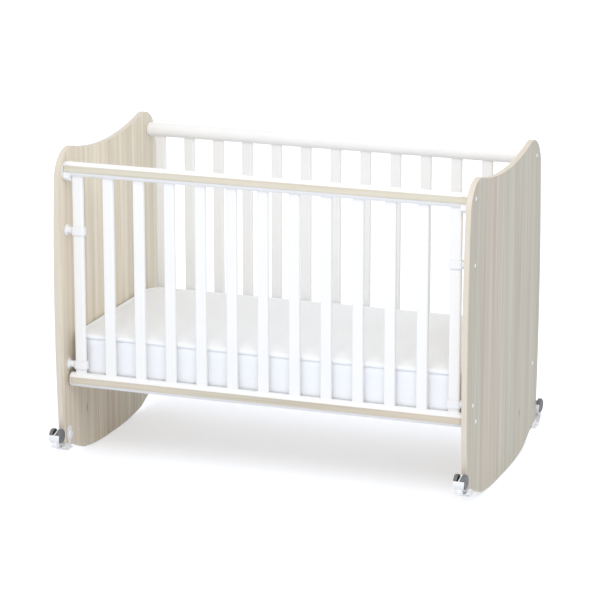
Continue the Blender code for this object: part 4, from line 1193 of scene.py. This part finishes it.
# Stage, in metres and watts; the camera is the one fitted to the photograph
FLOOR_HALF = 30
FLOOR_GLOW = 0.43
ROOM_LIGHT = 0.87
LAMP_PLACE = (0.9, -2.7, 3.3)
LAMP_SIZE = (2.2, 1.8)
LAMP_POWER = 50
LAMP_AIM = (0, 0, 0.4)
CAMERA_PLACE = (2.8169, -7.7201, 2.6637)
CAMERA_AZIMUTH = math.radians(20.06)
CAMERA_ELEVATION = math.radians(14.95)
CAMERA_LENS = 173.37


def seen(tree):
    """1 for a ray from the camera, or from a glossy or clear surface, and 0 for other light."""
    rays = add_node(tree, "LightPath").outputs
    share = rays["Is Camera Ray"]
    for kind in ("Glossy", "Transmission"):
        share = add_node(tree, "Math", {0: share, 1: rays[f"Is {kind} Ray"]}, operation="MAXIMUM")
    return share


class CRIB_OT_stage(bpy.types.Operator):
    """Make the floor, the lamp, the background and the camera"""
    bl_idname = "crib.stage"
    bl_label = "Stage"

    def execute(self, context):
        scene = context.scene
        scene.view_settings.view_transform = "Standard"
        self.make_floor()
        self.make_world(scene)
        self.make_lamp("softbox above the front", LAMP_PLACE, LAMP_SIZE, LAMP_POWER)
        self.make_camera(scene)
        return {"FINISHED"}

    def make_floor(self):
        """Matt white studio floor.  It glows a little for the camera and in reflections, so
        that it is white where nothing shades it."""
        corners = [(FLOOR_HALF * x, FLOOR_HALF * y, -FIT) for x, y in ((-1, -1), (1, -1), (1, 1), (-1, 1))]
        mesh = bpy.data.meshes.new("studio_floor")
        mesh.from_pydata(corners, [], [(0, 1, 2, 3)])
        floor = add_object("studio_floor", mesh)
        material, tree = new_material("matt_white_floor", Roughness=0.9, Base_Color=hex_colour("E9EEF8"),
                                      Emission_Color=(1, 1, 1, 1))
        glow = add_node(tree, "Math", {0: seen(tree), 1: FLOOR_GLOW}, operation="MULTIPLY")
        set_shader(material, Emission_Strength=glow)
        mesh.materials.append(material)

    def make_world(self, scene):
        """White where the camera sees it or its reflection; weaker as a light on the crib."""
        world = bpy.data.worlds.new("white studio")
        world.use_nodes = True
        tree = world.node_tree
        strength = add_node(tree, "MapRange", {"Value": seen(tree), "To Min": ROOM_LIGHT, "To Max": 1.0})
        background = tree.nodes["Background"]
        feed(tree, (1, 1, 1, 1), background.inputs["Color"])
        feed(tree, strength, background.inputs["Strength"])
        scene.world = world

    def make_lamp(self, name, location, size, power):
        """A rectangular lamp: tipped from straight down to its aim, and turned about z."""
        lamp = bpy.data.lights.new(name, "AREA")
        lamp.shape = "RECTANGLE"
        lamp.size, lamp.size_y = size
        lamp.energy = power
        holder = add_object(name, lamp)
        holder.location = location
        aim = np.array(LAMP_AIM) - location
        holder.rotation_euler = (math.atan2(math.hypot(aim[0], aim[1]), -aim[2]), 0,
                                 math.atan2(-aim[0], aim[1]))

    def make_camera(self, scene):
        """Seen from the right of the front, a little above, through a long lens."""
        camera = bpy.data.cameras.new("camera")
        camera.sensor_width = 36
        camera.lens = CAMERA_LENS
        camera.clip_end = 100
        scene.camera = add_object("camera", camera)
        scene.camera.location = CAMERA_PLACE
        scene.camera.rotation_euler = (math.pi / 2 - CAMERA_ELEVATION, 0, CAMERA_AZIMUTH)


class CRIB_PT_panel(bpy.types.Panel):
    """The crib's operators and settings"""
    bl_idname = "CRIB_PT_panel"
    bl_label = "Rocking Crib"
    bl_space_type = "VIEW_3D"
    bl_region_type = "UI"
    bl_category = "Crib"

    def draw(self, context):
        layout = self.layout
        for maker in MAKERS:
            layout.operator(maker.bl_idname)
        for settings in (context.scene.crib_sizes, context.scene.crib_colours):
            for key in settings.bl_rna.properties.keys():
                if key not in ("rna_type", "name"):
                    layout.prop(settings, key)


MAKERS = (CRIB_OT_panels, CRIB_OT_rails, CRIB_OT_slats, CRIB_OT_strips, CRIB_OT_fittings,
          CRIB_OT_guides, CRIB_OT_bed_base, CRIB_OT_mattress, CRIB_OT_casters, CRIB_OT_stage)
CLASSES = (CribSizes, CribColours) + MAKERS + (CRIB_PT_panel,)


def register():
    for kind in CLASSES:
        bpy.utils.register_class(kind)
    bpy.types.Scene.crib_sizes = bpy.props.PointerProperty(type=CribSizes)
    bpy.types.Scene.crib_colours = bpy.props.PointerProperty(type=CribColours)


def unregister():
    del bpy.types.Scene.crib_colours
    del bpy.types.Scene.crib_sizes
    for kind in reversed(CLASSES):
        bpy.utils.unregister_class(kind)


def main():
    for unwanted in ("Cube", "Light", "Camera"):
        if unwanted in bpy.data.objects:
            bpy.data.objects.remove(bpy.data.objects[unwanted])
    register()
    for maker in MAKERS:
        group, name = maker.bl_idname.split(".")
        getattr(getattr(bpy.ops, group), name)()


if __name__ == "__main__":
    main()
